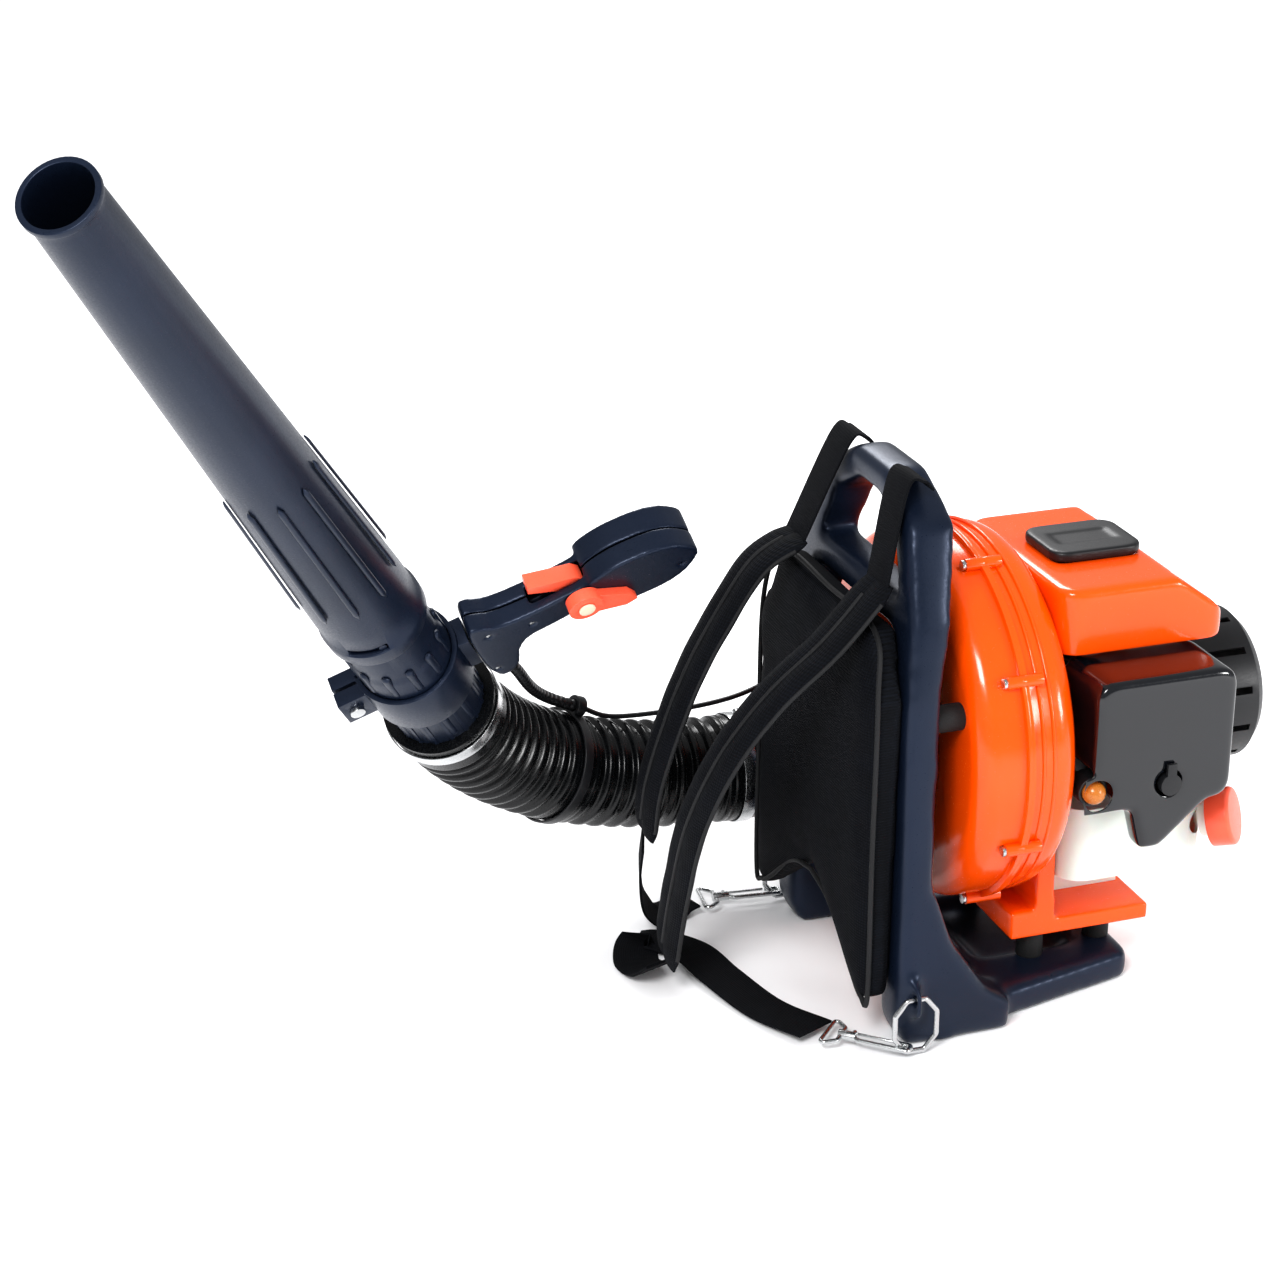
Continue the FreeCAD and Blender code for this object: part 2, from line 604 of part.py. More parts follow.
def scroll_face(inset=0.0):
    """Spiral outline of the blower at x = 0: three growing quarter turns and the outlet."""
    y, z = size("ShaftY"), size("ShaftZ")
    low, left, top = (size(name) - inset for name in ("ScrollLow", "ScrollLeft", "ScrollTop"))
    grow_left, grow_top = size("ScrollLeft - ScrollLow"), size("ScrollTop - ScrollLeft")
    left_y, top_z = y + grow_left, z - grow_top
    tongue = size("TongueY") + inset
    outlet = size("OutletZ") + inset

    def on_arc(middle_y, middle_z, radius, degrees):
        angle = math.radians(degrees)
        return V(0, middle_y + radius * math.cos(angle), middle_z + radius * math.sin(angle))

    corner = math.degrees(math.acos((tongue - inset * 2 - y) / low))
    quarter = [(y, z, low, 360 - corner, 270), (y, z, low, 270, 180),
               (left_y, z, left, 180, 90), (left_y, top_z, top, 90, 0)]
    edges = [Part.Arc(on_arc(my, mz, r, a), on_arc(my, mz, r, (a + b) / 2), on_arc(my, mz, r, b))
             .toShape() for my, mz, r, a, b in quarter]
    far = V(0, left_y + top, top_z)
    out = V(0, left_y + top, outlet)
    back = V(0, tongue - inset * 2, outlet)
    start = on_arc(y, z, low, 360 - corner)
    runs = [(far, out), (out, back), (back, start)]
    edges += [Part.LineSegment(a, b).toShape() for a, b in runs]
    return Part.Face(Part.Wire(edges))


def scroll_solid(face, low_x, high_x):
    moved = face.translated(V(low_x, 0, 0))
    return moved.extrude(V(high_x - low_x, 0, 0))


def rim_round(solid, at_x, radius):
    """Round the arcs of a scroll where it meets one of its flat faces."""
    edges = [edge for edge in solid.Edges
             if edge.Curve.TypeId == "Part::GeomCircle"
             and abs(edge.BoundBox.XMin - at_x) < 1e-6 and abs(edge.BoundBox.XMax - at_x) < 1e-6]
    return solid.makeFillet(radius, edges)


def shaft_hole(radius, low_x, high_x):
    return Part.makeCylinder(radius, high_x - low_x, V(low_x, size("ShaftY"), size("ShaftZ")), X_AXIS)


def outlet_middle():
    far = size("ShaftY + ScrollLeft - ScrollLow + ScrollTop")
    return V(size("(VoluteFrontX + VoluteRearX) / 2"), (far + size("TongueY")) / 2, size("OutletZ"))


FLANGE_SCREWS = (8, 48, 105, 146, 202, 242, 285)


def scroll_reach(degrees):
    """Distance from the shaft to the scroll's outside, at an angle from +Y towards +Z."""
    angle = math.radians(degrees)
    grow_left, grow_top = size("ScrollLeft - ScrollLow"), size("ScrollTop - ScrollLeft")
    if 90 < degrees <= 180:
        middle_y, middle_z, radius = grow_left, 0, size("ScrollLeft")
    elif degrees <= 90:
        middle_y, middle_z, radius = grow_left, -grow_top, size("ScrollTop")
    else:
        return size("ScrollLow")
    along = middle_y * math.cos(angle) + middle_z * math.sin(angle)
    return along + math.sqrt(along**2 - middle_y**2 - middle_z**2 + radius**2)


def flange_screw(degrees):
    """Seam screw position, on the middle of its boss."""
    angle = math.radians(degrees)
    reach = scroll_reach(degrees) + size("FlangeReach") - 1.5
    return size("ShaftY") + reach * math.cos(angle), size("ShaftZ") + reach * math.sin(angle)


def volute_half(front):
    seam, wall = size("SeamX"), size("ScrollWall")
    end = size("VoluteFrontX") if front else size("VoluteRearX")
    way = -1 if front else 1
    low_x, high_x = sorted((seam, end))
    outside = rim_round(scroll_solid(scroll_face(), low_x, high_x), end, size("ScrollRound"))
    thick = size("FlangeThick")
    flange_x = sorted((seam, seam + way * thick))
    outside = outside.fuse(scroll_solid(scroll_face(-size("FlangeReach")), *flange_x))
    for degrees in FLANGE_SCREWS:
        y, z = flange_screw(degrees)
        boss = Part.makeCylinder(5, 15, V(seam, y, z), V(way, 0, 0))
        outside = outside.fuse(boss)
    room = scroll_solid(scroll_face(wall), *sorted((seam - way, end - way * wall)))
    room = rim_round(room, end - way * wall, size("ScrollRound") - wall)
    shell = outside.cut(room)
    for degrees in FLANGE_SCREWS:
        y, z = flange_screw(degrees)
        shell = shell.cut(Part.makeCylinder(2.1, 40, V(seam - 20, y, z), X_AXIS))
        shell = shell.cut(Part.makeCylinder(4.6, 6, V(seam - 21, y, z), X_AXIS))
    hole = size("InletRadius") if front else size("HubHoleRadius")
    shell = shell.cut(shaft_hole(hole, end - 12, end + 12))
    bore = Part.makeCylinder(size("OutletBore"), 30, outlet_middle() - V(0, 0, 15), Z_AXIS)
    return shell.cut(bore)


def volute():
    named(fused([own_shape(volute_half(True)), intake_grille()]), "volute_front")
    named(own_shape(volute_half(False)), "volute_rear")


def volute_screws():
    screws = []
    for degrees in FLANGE_SCREWS:
        y, z = flange_screw(degrees)
        head = Part.makeCylinder(4.2, 3, V(size("SeamX") - 18, y, z), X_AXIS)
        shank = Part.makeCylinder(2, 29, V(size("SeamX") - 15, y, z), X_AXIS)
        screws.append(own_shape(head.fuse(shank).removeSplitter()))
    named(group(screws), "volute_screws")


def intake_grille():
    """Guard over the air inlet: rings on four crossed bars."""
    bar = size("GrilleBar")
    rings = []
    for share in (1, 0.74, 0.5, 0.26):
        outer = size("InletRadius") * share + (2 if share == 1 else 0)
        rings.append(Part.makeCylinder(outer, bar).cut(Part.makeCylinder(outer - 3, bar)))
    long = size("InletRadius") + 2
    for step in range(4):
        bars = Part.makeBox(2 * long, 3, bar, V(-long, -1.5, 0))
        bars.rotate(V(0, 0, 0), Z_AXIS, 45 * step)
        rings.append(bars)
    guard = own_shape(rings[0].fuse(rings[1:]).removeSplitter())
    guard.Placement = FreeCAD.Placement(
        V(size("VoluteFrontX"), size("ShaftY"), size("ShaftZ")), turn(Y_AXIS, 90))
    return guard


def fan_impeller():
    """Back plate, hub and a ring of backward-curved blades."""
    plate = turned(ring_profile("ShaftRadius", "FanRadius", "FanPlateX", "FanPlateX + FanPlate"))
    hub = turned(ring_profile("ShaftRadius", "20", "FanPlateX - 14", "FanPlateX + FanPlate"))
    blades = []
    count = int(size("BladeCount"))
    for number in range(count):
        long = size("FanRadius - FanInner") * 1.12
        blade = Part.makeBox(long, size("BladeThick"), size("FanPlateX - FanFrontX") + 0.5,
                             V(0, 0, size("FanFrontX")))
        blade.rotate(V(0, 0, 0), Z_AXIS, 36)
        blade.translate(V(size("FanInner"), 0, 0))
        blade.rotate(V(0, 0, 0), Z_AXIS, 360 / count * number)
        blades.append(blade)
    limit = Part.makeCylinder(size("FanRadius"), 100, V(0, 0, size("FanFrontX") - 5))
    fan = own_shape(blades[0].fuse(blades[1:]).common(limit))
    named(fused([plate, hub, fan]), "fan_impeller", SHAFT)


def outlet_stations(extra=0.0):
    start = outlet_middle()
    end = V(size("HoseEndX"), size("HoseEndY"), size("HoseEndZ"))
    curve = (start, start - V(0, 0, 62), end + V(62, 0, 0), end)
    stations = []
    for step in range(7):
        place, along = bezier(curve, step / 6)
        growth = size("HoseRadius - HoseWall - OutletBore - SpigotGap")
        radius = size("OutletBore") + growth * step / 6
        stations.append((place, along, radius + extra))
    return stations


def outlet_elbow():
    """Elbow that turns the air from the scroll forward, past the frame, into the hose."""
    outside = pipe_loft(outlet_stations())
    inside = pipe_loft(outlet_stations(-3))
    end, along, radius = outlet_stations()[-1]
    spigot = Part.makeCylinder(radius, 14, end, along)
    bore = Part.makeCylinder(radius - 3, 30, end - along * 1, along)
    named(own_shape(outside.fuse(spigot).cut(inside.fuse(bore)).removeSplitter()), "outlet_elbow")


# ---- engine ---------------------------------------------------------------------------------------

def crankcase():
    hull = fused([block(("CaseFrontX", "-CaseHalf", "CaseBottom"), ("CaseRearX", "CaseHalf", "CaseTop")),
                  rod("HubHoleRadius - 1", "10", ("CaseFrontX - 4", "ShaftY", "ShaftZ"), X_AXIS)])
    room = block(("CaseFrontX + CaseWall + 8", "CaseWall - CaseHalf", "CaseBottom + CaseWall"),
                 ("CaseRearX - CaseWall - 8", "CaseHalf - CaseWall", "CaseTop - CaseWall"))
    bore = rod("BearingRadius", "200", ("CaseFrontX - 20", "ShaftY", "ShaftZ"), X_AXIS)
    barrel = rod("BoreRadius", "60", ("CylinderX", "ShaftY", "CaseTop - 30"))
    named(cut(hull, [room, bore, barrel]), "crankcase")


def bearings():
    rings = []
    for place in ("CaseFrontX + 3", "CaseRearX - 3 - BearingWidth"):
        ring = turned(ring_profile("ShaftRadius + ShaftPlay", "BearingRadius", place,
                                   f"{place} + BearingWidth"))
        ring.Placement = SHAFT
        rings.append(ring)
    named(group(rings), "main_bearings")


def cylinder():
    barrel = rod("BoreRadius + 5", "CylinderTop - CaseTop", ("CylinderX", "ShaftY", "CaseTop"))
    fins = []
    for number in range(int(size("(CylinderTop - CaseTop - 4) / FinPitch"))):
        low = f"CaseTop + 4 + {number} * FinPitch"
        fins.append(block(("CylinderX - FinHalf", "ShaftY - FinHalf", low),
                          ("CylinderX + FinHalf", "ShaftY + FinHalf", f"{low} + FinThick")))
    head = block(("CylinderX - 24", "ShaftY - 24", "CylinderTop - 9"),
                 ("CylinderX + 24", "ShaftY + 24", "CylinderTop"))
    bore = rod("BoreRadius", "CylinderTop - 9 - CaseTop + 1", ("CylinderX", "ShaftY", "CaseTop - 1"))
    plug = rod("6", "20", ("CylinderX", "ShaftY", "CylinderTop - 12"))
    named(cut(fused([barrel, head] + fins), [bore, plug]), "cylinder")


def piston():
    body = rod("BoreRadius - 0.2", "PistonHeight",
               ("CylinderX", "ShaftY", "CylinderTop - 14 - PistonHeight"))
    room = rod("BoreRadius - 4", "PistonHeight - 5",
               ("CylinderX", "ShaftY", "CylinderTop - 15 - PistonHeight"))
    named(cut(body, [room]), "piston")


def spark_plug():
    thread = rod("6", "12", ("CylinderX", "ShaftY", "CylinderTop - 12"))
    hexagon = rod("9.5", "7", ("CylinderX", "ShaftY", "CylinderTop"))
    porcelain = rod("4.5", "14", ("CylinderX", "ShaftY", "CylinderTop + 7"))
    named(fused([thread, hexagon, porcelain]), "spark_plug")


def spark_plug_boot():
    sleeve = rod("9", "24", ("CylinderX", "ShaftY", "CylinderTop + 8"))
    arm = rod("6", "26", ("CylinderX", "ShaftY", "CylinderTop + 25"), X_AXIS)
    hole = rod("4.5", "14", ("CylinderX", "ShaftY", "CylinderTop + 7"))
    named(cut(fused([sleeve, arm]), [hole]), "spark_plug_boot")


def crankshaft():
    shaft = rod("ShaftRadius", "StarterX + 18 - FanPlateX + 8", ("FanPlateX - 8", "ShaftY", "ShaftZ"),
                X_AXIS)
    webs = [rod("22", "8", (place, "ShaftY", "ShaftZ"), X_AXIS)
            for place in ("CylinderX - 16", "CylinderX + 8")]
    named(fused([shaft] + webs), "crankshaft")


def flywheel():
    disc = turned(ring_profile("ShaftRadius", "FlywheelRadius", "FlywheelX",
                               "FlywheelX + FlywheelWidth"))
    hub = turned(ring_profile("ShaftRadius", "16", "FlywheelX - 8", "FlywheelX + 1"))
    named(fused([disc, hub]), "flywheel", SHAFT)


def ignition_coil():
    core = block(("FlywheelX", "-12", "ShaftZ + FlywheelRadius + 1"),
                 ("FlywheelX + FlywheelWidth", "12", "ShaftZ + FlywheelRadius + 12"))
    coil = block(("FlywheelX - 5", "-16", "ShaftZ + FlywheelRadius + 12"),
                 ("FlywheelX + FlywheelWidth", "16", "ShaftZ + FlywheelRadius + 27"))
    arm = block(("CaseRearX - 1", "-10", "ShaftZ + FlywheelRadius + 14"),
                ("FlywheelX - 4", "10", "ShaftZ + FlywheelRadius + 24"))
    post = block(("CaseRearX - 10", "-10", "CaseTop"),
                 ("CaseRearX", "10", "ShaftZ + FlywheelRadius + 24"))
    named(fused([core, coil, arm, post]), "ignition_coil")


def muffler():
    """Silencer on the cylinder's exhaust side, with its slotted guard."""
    inner = "ShaftY + FinHalf"
    can = block(("CylinderX - 34", f"{inner} + 10", "CaseTop - 46"),
                ("CylinderX + 36", f"{inner} + 54", "CaseTop + 26"))
    port = rod("12", "10", ("CylinderX", inner, "CaseTop + 14"), Y_AXIS)
    tail = rod("7", "12", ("CylinderX + 10", f"{inner} + 53", "CaseTop - 24"), Y_AXIS)
    plate = block(("CylinderX - 40", f"{inner} + 67", "CaseTop - 52"),
                  ("CylinderX + 42", f"{inner} + 70", "CaseTop + 30"))
    slots = [block((f"CylinderX - 28 + {n} * 14", f"{inner} + 60", "CaseTop - 40"),
                   (f"CylinderX - 21 + {n} * 14", f"{inner} + 80", "CaseTop + 14"))
             for n in range(5)]
    feet = [rod("3.5", "14", (place, f"{inner} + 54", "CaseTop + 22"), Y_AXIS)
            for place in ("CylinderX - 28", "CylinderX + 30")]
    named(fused([can, port, tail, cut(plate, slots)] + feet), "muffler")


def starter_housing():
    """Slotted recoil starter cover, with the skirt round the flywheel that carries it."""
    rear, wall = "StarterRearX", "StarterWall"
    shell = turned([("0", f"{rear} - {wall}"), ("StarterRadius - 9", f"{rear} - {wall}"),
                    (f"StarterRadius - {wall}", f"{rear} - 9"),
                    (f"StarterRadius - {wall}", f"StarterX + {wall}"),
                    (f"SkirtRadius - {wall}", f"StarterX + {wall}"),
                    (f"SkirtRadius - {wall}", "CaseRearX + 4"), ("22", "CaseRearX + 4"),
                    ("22", "CaseRearX"), ("SkirtRadius", "CaseRearX"), ("SkirtRadius", "StarterX"),
                    ("StarterRadius", "StarterX"), ("StarterRadius", f"{rear} - 8"),
                    ("StarterRadius - 8", rear), ("0", rear)])
    shell.Placement = SHAFT
    slots = []
    rope_side = 3
    for number in range(12):
        if number == rope_side:
            continue
        slot = Part.makeBox(20, 6, size("StarterRearX - StarterX") - 22,
                            V(size("StarterRadius") - 12, -3, size("StarterX") + 8))
        slot.rotate(V(0, 0, 0), Z_AXIS, 30 * number + 15)
        slots.append(slot)
    slits = own_shape(slots[0].fuse(slots[1:]))
    slits.Placement = SHAFT
    eye = rod("5", "24", ("StarterX + 24", "ShaftY + StarterRadius - 20", "ShaftZ + GripPullZ + 6"), Y_AXIS)
    window = block(("CaseRearX - 2", "-18", "ShaftZ + 40"), ("StarterX - 10", "18", "ShaftZ + 90"))
    axle_length = "StarterRearX - StarterX - 22 - StarterWall"
    axle = rod("5", axle_length, ("StarterX + 22", "ShaftY", "ShaftZ"), X_AXIS)
    named(fused([cut(shell, [slits, eye, window]), axle]), "starter_housing")


def starter_pulley():
    x, wide = "StarterX + 24", "PulleyWidth"
    wheel = turned([("5.3", x), ("PulleyRadius", x), ("PulleyRadius", f"{x} + 3"),
                    ("PulleyRadius - 7", f"{x} + PulleyWidth / 2"),
                    ("PulleyRadius", f"{x} + {wide} - 3"), ("PulleyRadius", f"{x} + {wide}"),
                    ("5.3", f"{x} + {wide}")])
    named(wheel, "starter_pulley", SHAFT)


def starter_handle():
    y = "ShaftY + StarterRadius - 8"
    place = ("StarterX + 24", y, "ShaftZ + GripPullZ + 6")
    stem = rod("3", "10", place, Y_AXIS)
    bar = block(("StarterX + 24 - 22", f"{y} + 8", "ShaftZ + GripPullZ - 3"),
                ("StarterX + 24 + 22", f"{y} + 20", "ShaftZ + GripPullZ + 15"))
    named(fused([softened(bar, "4", lambda edge: upright(edge, X_AXIS)), stem]), "starter_handle")


def engine_bracket():
    x = "VoluteRearX"
    side = [("14", "BracketBottom"), ("BracketRearX", "BracketBottom"),
            ("BracketRearX", "BracketBottom + BracketThick"), (f"{x} + 18", "BracketBottom + BracketThick"),
            (f"{x} + 15", "140"), (x, "140"), (x, "74"), ("14", "74")]
    named(slab("XZ_Plane", [side], "-BracketHalf", "2 * BracketHalf"), "engine_bracket")


ISOLATOR_PLACES = (("108", "46"), ("108", "-46"), ("40", "60"), ("40", "-60"))


def rubber_isolators():
    low = [rod("IsolatorRadius", "BracketBottom - DeckHeight + 1", (x, y, "DeckHeight - 1"))
           for x, y in ISOLATOR_PLACES]
    top = [rod("IsolatorRadius", "VoluteFrontX - (FrontX + PostDepth) + 4",
               ("FrontX + PostDepth - 2", f"{way} * 100", "270"), X_AXIS) for way in (-1, 1)]
    named(group(low + top), "rubber_isolators")


# ---- covers, air cleaner and fuel --------------------------------------------------------------------

def open_box(low, high, wall, open_low=True, soften="12"):
    """Cover: a block rounded on its upright edges and hollow, open underneath."""
    outer = softened(block(low, high), soften, upright)
    floor = f"({low[2]}) - 1" if open_low else f"({low[2]}) + ({wall})"
    room = block([f"({low[0]}) + ({wall})", f"({low[1]}) + ({wall})", floor],
                 [f"({high[0]}) - ({wall})", f"({high[1]}) - ({wall})", f"({high[2]}) - ({wall})"])
    return cut(outer, [softened(room, f"{soften} - ({wall})", upright)])


def engine_top_cover():
    shell = open_box(("CoverFrontX", "-CoverHalf", "CoverBottom"),
                     ("CoverRearX", "CoverHalf", "CoverTop"), "CoverWall", soften="18")
    slope = slab("XZ_Plane", [[("CoverRearX - 46", "CoverTop + 1"), ("CoverRearX + 1", "CoverTop - 34"),
                               ("CoverRearX + 1", "CoverTop + 1")]], "-CoverHalf - 1", "2 * CoverHalf + 2")
    lid = slab("XZ_Plane", [[("CoverRearX - 46 - CoverWall", "CoverTop"), ("CoverRearX - 46", "CoverTop"),
                             ("CoverRearX", "CoverTop - 34"), ("CoverRearX", "CoverTop - 38"),
                             ("CoverRearX - 3", "CoverTop - 38")]], "18 - CoverHalf", "2 * CoverHalf - 36")
    mouth = block(("PlugCoverX - PlugCoverLength / 2 + 6", "6 - PlugCoverWidth / 2", "CoverTop - 10"),
                  ("PlugCoverX + PlugCoverLength / 2 - 6", "PlugCoverWidth / 2 - 6", "CoverTop + 1"))
    named(fused([cut(shell, [slope, mouth]), lid]), "engine_top_cover")


def plug_cover():
    cap = softened(block(("PlugCoverX - PlugCoverLength / 2", "-PlugCoverWidth / 2", "CoverTop"),
                         ("PlugCoverX + PlugCoverLength / 2", "PlugCoverWidth / 2", "PlugCoverTop")),
                   "14", upright)
    skirt = block(("PlugCoverX - PlugCoverLength / 2 + 6.3", "6.3 - PlugCoverWidth / 2", "CoverTop - 6"),
                  ("PlugCoverX + PlugCoverLength / 2 - 6.3", "PlugCoverWidth / 2 - 6.3", "CoverTop + 1"))
    room = block(("PlugCoverX - PlugCoverLength / 2 + 9", "9 - PlugCoverWidth / 2", "CoverTop - 7"),
                 ("PlugCoverX + PlugCoverLength / 2 - 9", "PlugCoverWidth / 2 - 9", "PlugCoverTop - 3"))
    grip = block(("PlugCoverX - 26", "-12", "PlugCoverTop - 1.4"),
                 ("PlugCoverX + 26", "12", "PlugCoverTop + 1"))
    named(cut(fused([cap, skirt]), [room, grip]), "plug_cover")


def carburettor():
    body = block(("CylinderX - 22", "-FinHalf - 26", "CaseTop - 30"),
                 ("CylinderX + 22", "-FinHalf - 3", "CaseTop + 2"))
    throat = rod("9", "80", ("CylinderX", "-FinHalf - 40", "CaseTop - 13"), Y_AXIS)
    inlet = block(("CylinderX - 14", "-FinHalf - 3", "CaseTop - 27"),
                  ("CylinderX + 14", "-CaseHalf", "CaseTop - 1"))
    named(cut(fused([body, inlet]), [throat]), "carburettor")


def throttle_arm():
    """Lever on the carburettor that the throttle cable pulls."""
    x, y, z = "CylinderX + 22.4", "-FinHalf - 14", "CaseTop - 13"
    hub = rod("5", "4", (x, y, z), X_AXIS)
    arm = block((x, f"{y} - 3", f"{z}"), (f"{x} + 4", f"{y} + 3", f"{z} + 20"))
    named(fused([hub, arm]), "throttle_arm")


def air_cleaner_base():
    plate = block(("CleanerFrontX + 6", "CleanerFarY - 4", "CleanerBottom + 6"),
                  ("CleanerRearX - 6", "CleanerFarY", "CleanerTop - 6"))
    neck = rod("14", "CleanerFarY * -1 - FinHalf - 26", ("CylinderX", "CleanerFarY", "CaseTop - 13"), Y_AXIS)
    bore = rod("9", "60", ("CylinderX", "CleanerFarY - 20", "CaseTop - 13"), Y_AXIS)
    step = block(("CleanerFrontX", "CleanerFarY - 5", "CleanerBottom"),
                 ("CleanerFrontX + NotchWidth + CoverWall + 0.5", "CleanerFarY",
                  "CleanerBottom + NotchHeight + CoverWall + 0.5"))
    tab = block(("CleanerFrontX - 8", "CleanerFarY", "CleanerBottom + 4"),
                ("CleanerFrontX + NotchWidth + 12", "CleanerFarY + 4", "CleanerBottom + 32"))
    cup = rod("PrimerRadius + 3", "18", ("PrimerX", "CleanerNearY + 9", "PrimerZ"), Y_AXIS)
    room = rod("PrimerRadius + 0.4", "14", ("PrimerX", "CleanerNearY + 8", "PrimerZ"), Y_AXIS)
    stalk = rod("4", "CleanerFarY - CleanerNearY - 24", ("PrimerX", "CleanerNearY + 26", "PrimerZ"), Y_AXIS)
    named(cut(fused([cut(plate, [step]), neck, tab, cup, stalk]), [bore, room]), "air_cleaner_base")


def air_filter():
    frame = block(("CleanerFrontX + NotchWidth + 6", "CleanerFarY - 30", "CleanerBottom + 16"),
                  ("CleanerRearX - 14", "CleanerFarY - 4", "CleanerTop - 16"))
    named(softened(frame, "8", lambda edge: upright(edge, Y_AXIS)), "air_filter")


def air_cleaner_cover():
    """Deep cover with a step at its lower front corner for the primer, and a spout underneath."""
    def along_y(edge):
        return upright(edge, Y_AXIS)

    low = ("CleanerFrontX", "CleanerNearY", "CleanerBottom")
    high = ("CleanerRearX", "CleanerFarY", "CleanerTop")
    outer = softened(block(low, high), "14", along_y)
    room = softened(block([f"{v} + CoverWall" for v in low],
                          ["CleanerRearX - CoverWall", "CleanerFarY + 1", "CleanerTop - CoverWall"]),
                    "14 - CoverWall", along_y)
    step = block(("CleanerFrontX - 1", "CleanerNearY - 1", "CleanerBottom - 1"),
                 ("CleanerFrontX + NotchWidth", "CleanerFarY + 1", "CleanerBottom + NotchHeight"))
    inner_step = block(("CleanerFrontX - 1", "CleanerNearY - 1", "CleanerBottom - 1"),
                       ("CleanerFrontX + NotchWidth + CoverWall", "CleanerFarY + 2",
                        "CleanerBottom + NotchHeight + CoverWall"))
    shell = cut(cut(outer, [step]), [cut(room, [inner_step])])
    foot, tip = "CleanerBottom + 3", "CleanerBottom - SpoutDrop"
    spout = [("CleanerFrontX + 34", foot), ("CleanerFrontX + 44", tip),
             ("CleanerFrontX + 62", tip), ("CleanerRearX - 16", foot)]
    drop = slab("XZ_Plane", [spout], "-CleanerNearY - 22", "22")
    tab = block(("CleanerFrontX - 10", "CleanerNearY", "CleanerBottom"),
                ("CleanerFrontX + NotchWidth + 1", "CleanerNearY + CoverWall",
                 "CleanerBottom + NotchHeight + 1"))
    primer = rod("PrimerRadius + 1.5", "10", ("PrimerX", "CleanerNearY - 5", "PrimerZ"), Y_AXIS)
    choke = rod("ChokeRadius + 0.4", "10", (CHOKE_X, "CleanerNearY - 5", CHOKE_Z), Y_AXIS)
    named(cut(fused([shell, drop, tab]), [primer, choke]), "air_cleaner_cover")


CHOKE_X, CHOKE_Z = "CleanerFrontX + 66", "CleanerBottom + 20"


def choke_lever():
    x, z = CHOKE_X, CHOKE_Z
    hub = rod("ChokeRadius", "9", (x, "CleanerNearY - 4", z), Y_AXIS)
    arm = block((f"{x} - 4", "CleanerNearY - 4", f"{z} - 4"), (f"{x} + 4", "CleanerNearY - 1", f"{z} + 18"))
    named(fused([hub, arm]), "choke_lever")


def primer_bulb():
    dome = doc.addObject("Part::Sphere", "Dome")
    bind(dome, "Radius", "PrimerRadius")
    dome.Placement.Base = V(size("PrimerX"), size("CleanerNearY") + 8, size("PrimerZ"))
    named(dome, "primer_bulb")


def cap_placement():
    axis = V(0.74, -0.62, 0.26).normalize()
    base = V(size("TankRearX") - 4, size("TankNearY") + 5, size("TankTop") - 26)
    return FreeCAD.Placement(base, FreeCAD.Rotation(Z_AXIS, axis))


def fuel_tank():
    low = ("TankFrontX", "TankNearY", "TankBottom")
    high = ("TankRearX", "TankFarY", "TankTop")
    upper = softened(block(low, high), "22", upright)
    sump = block(("TankFrontX + 18", "-30", "BracketBottom + BracketThick"),
                 ("TankRearX - 50", "60", "TankBottom + 1"))
    neck = rod("NeckRadius", "24", ("0", "0", "0"))
    for axis in "xyz":
        neck.setExpression(f"Placement.Base.{axis}", None)
    neck.Placement = cap_placement()
    room = block([f"{v} + TankWall" for v in low], [f"{v} - TankWall" for v in high])
    room = softened(room, "19", upright)
    pickup = rod("2.5", "20", ("CylinderX + 8", "-FinHalf - 14", "TankTop - 10"))
    bore = rod("NeckRadius - 3", "44", ("0", "0", "0"))
    for axis in "xyz":
        bore.setExpression(f"Placement.Base.{axis}", None)
    bore.Placement = cap_placement().multiply(FreeCAD.Placement(V(0, 0, -19), FreeCAD.Rotation()))
    named(cut(fused([upper, sump, neck]), [room, bore, pickup]), "fuel_tank")


def fuel_cap():
    cup = turned([("0", "CapHeight + 2"), ("0", "CapHeight + 8"), ("CapRadius - 2", "CapHeight + 8"),
                  ("CapRadius", "CapHeight + 6"), ("CapRadius", "8"), ("NeckRadius + 0.4", "8"),
                  ("NeckRadius + 0.4", "CapHeight + 6"), ("NeckRadius - 3.4", "CapHeight + 6"),
                  ("NeckRadius - 3.4", "CapHeight + 2")])
    named(cup, "fuel_cap", cap_placement())


def cap_gasket():
    ring = turned(ring_profile("NeckRadius - 3.1", "NeckRadius", "24", "CapHeight + 5.8"))
    named(ring, "cap_gasket", cap_placement())


def fuel_line():
    """Pickup filter in the tank, the line up to the carburettor and its grommet."""
    x, y = "CylinderX + 8", "-FinHalf - 14"
    line = rod("2.5", "CaseTop - 30 - TankBottom - 24", (x, y, "TankBottom + 24"))
    weight = rod("7", "18", (x, y, "TankBottom + 6"))
    seal = cut(rod("6", "6", (x, y, "TankTop")), [rod("2.5", "10", (x, y, "TankTop - 2"))])
    named(group([line, weight, seal]), "fuel_line")


# ---- hose ------------------------------------------------------------------------------------------

def hose_curve():
    """Middle line of the hose: from the elbow's mouth, forward and up into the lower tube."""
    start = V(size("HoseEndX"), size("HoseEndY"), size("HoseEndZ"))
    end = V(size("CuffX"), size("CuffY"), size("CuffZ"))
    wand = WAND_TURN.multVec(Z_AXIS)
    return (start, start + V(-148, 0, 0), end - wand * 134, end)


def hose_stations(low, high, radius, count):
    stations = []
    for step in range(count + 1):
        place, along = bezier(hose_curve(), low + (high - low) * step / count)
        stations.append((place, along, radius))
    return stations


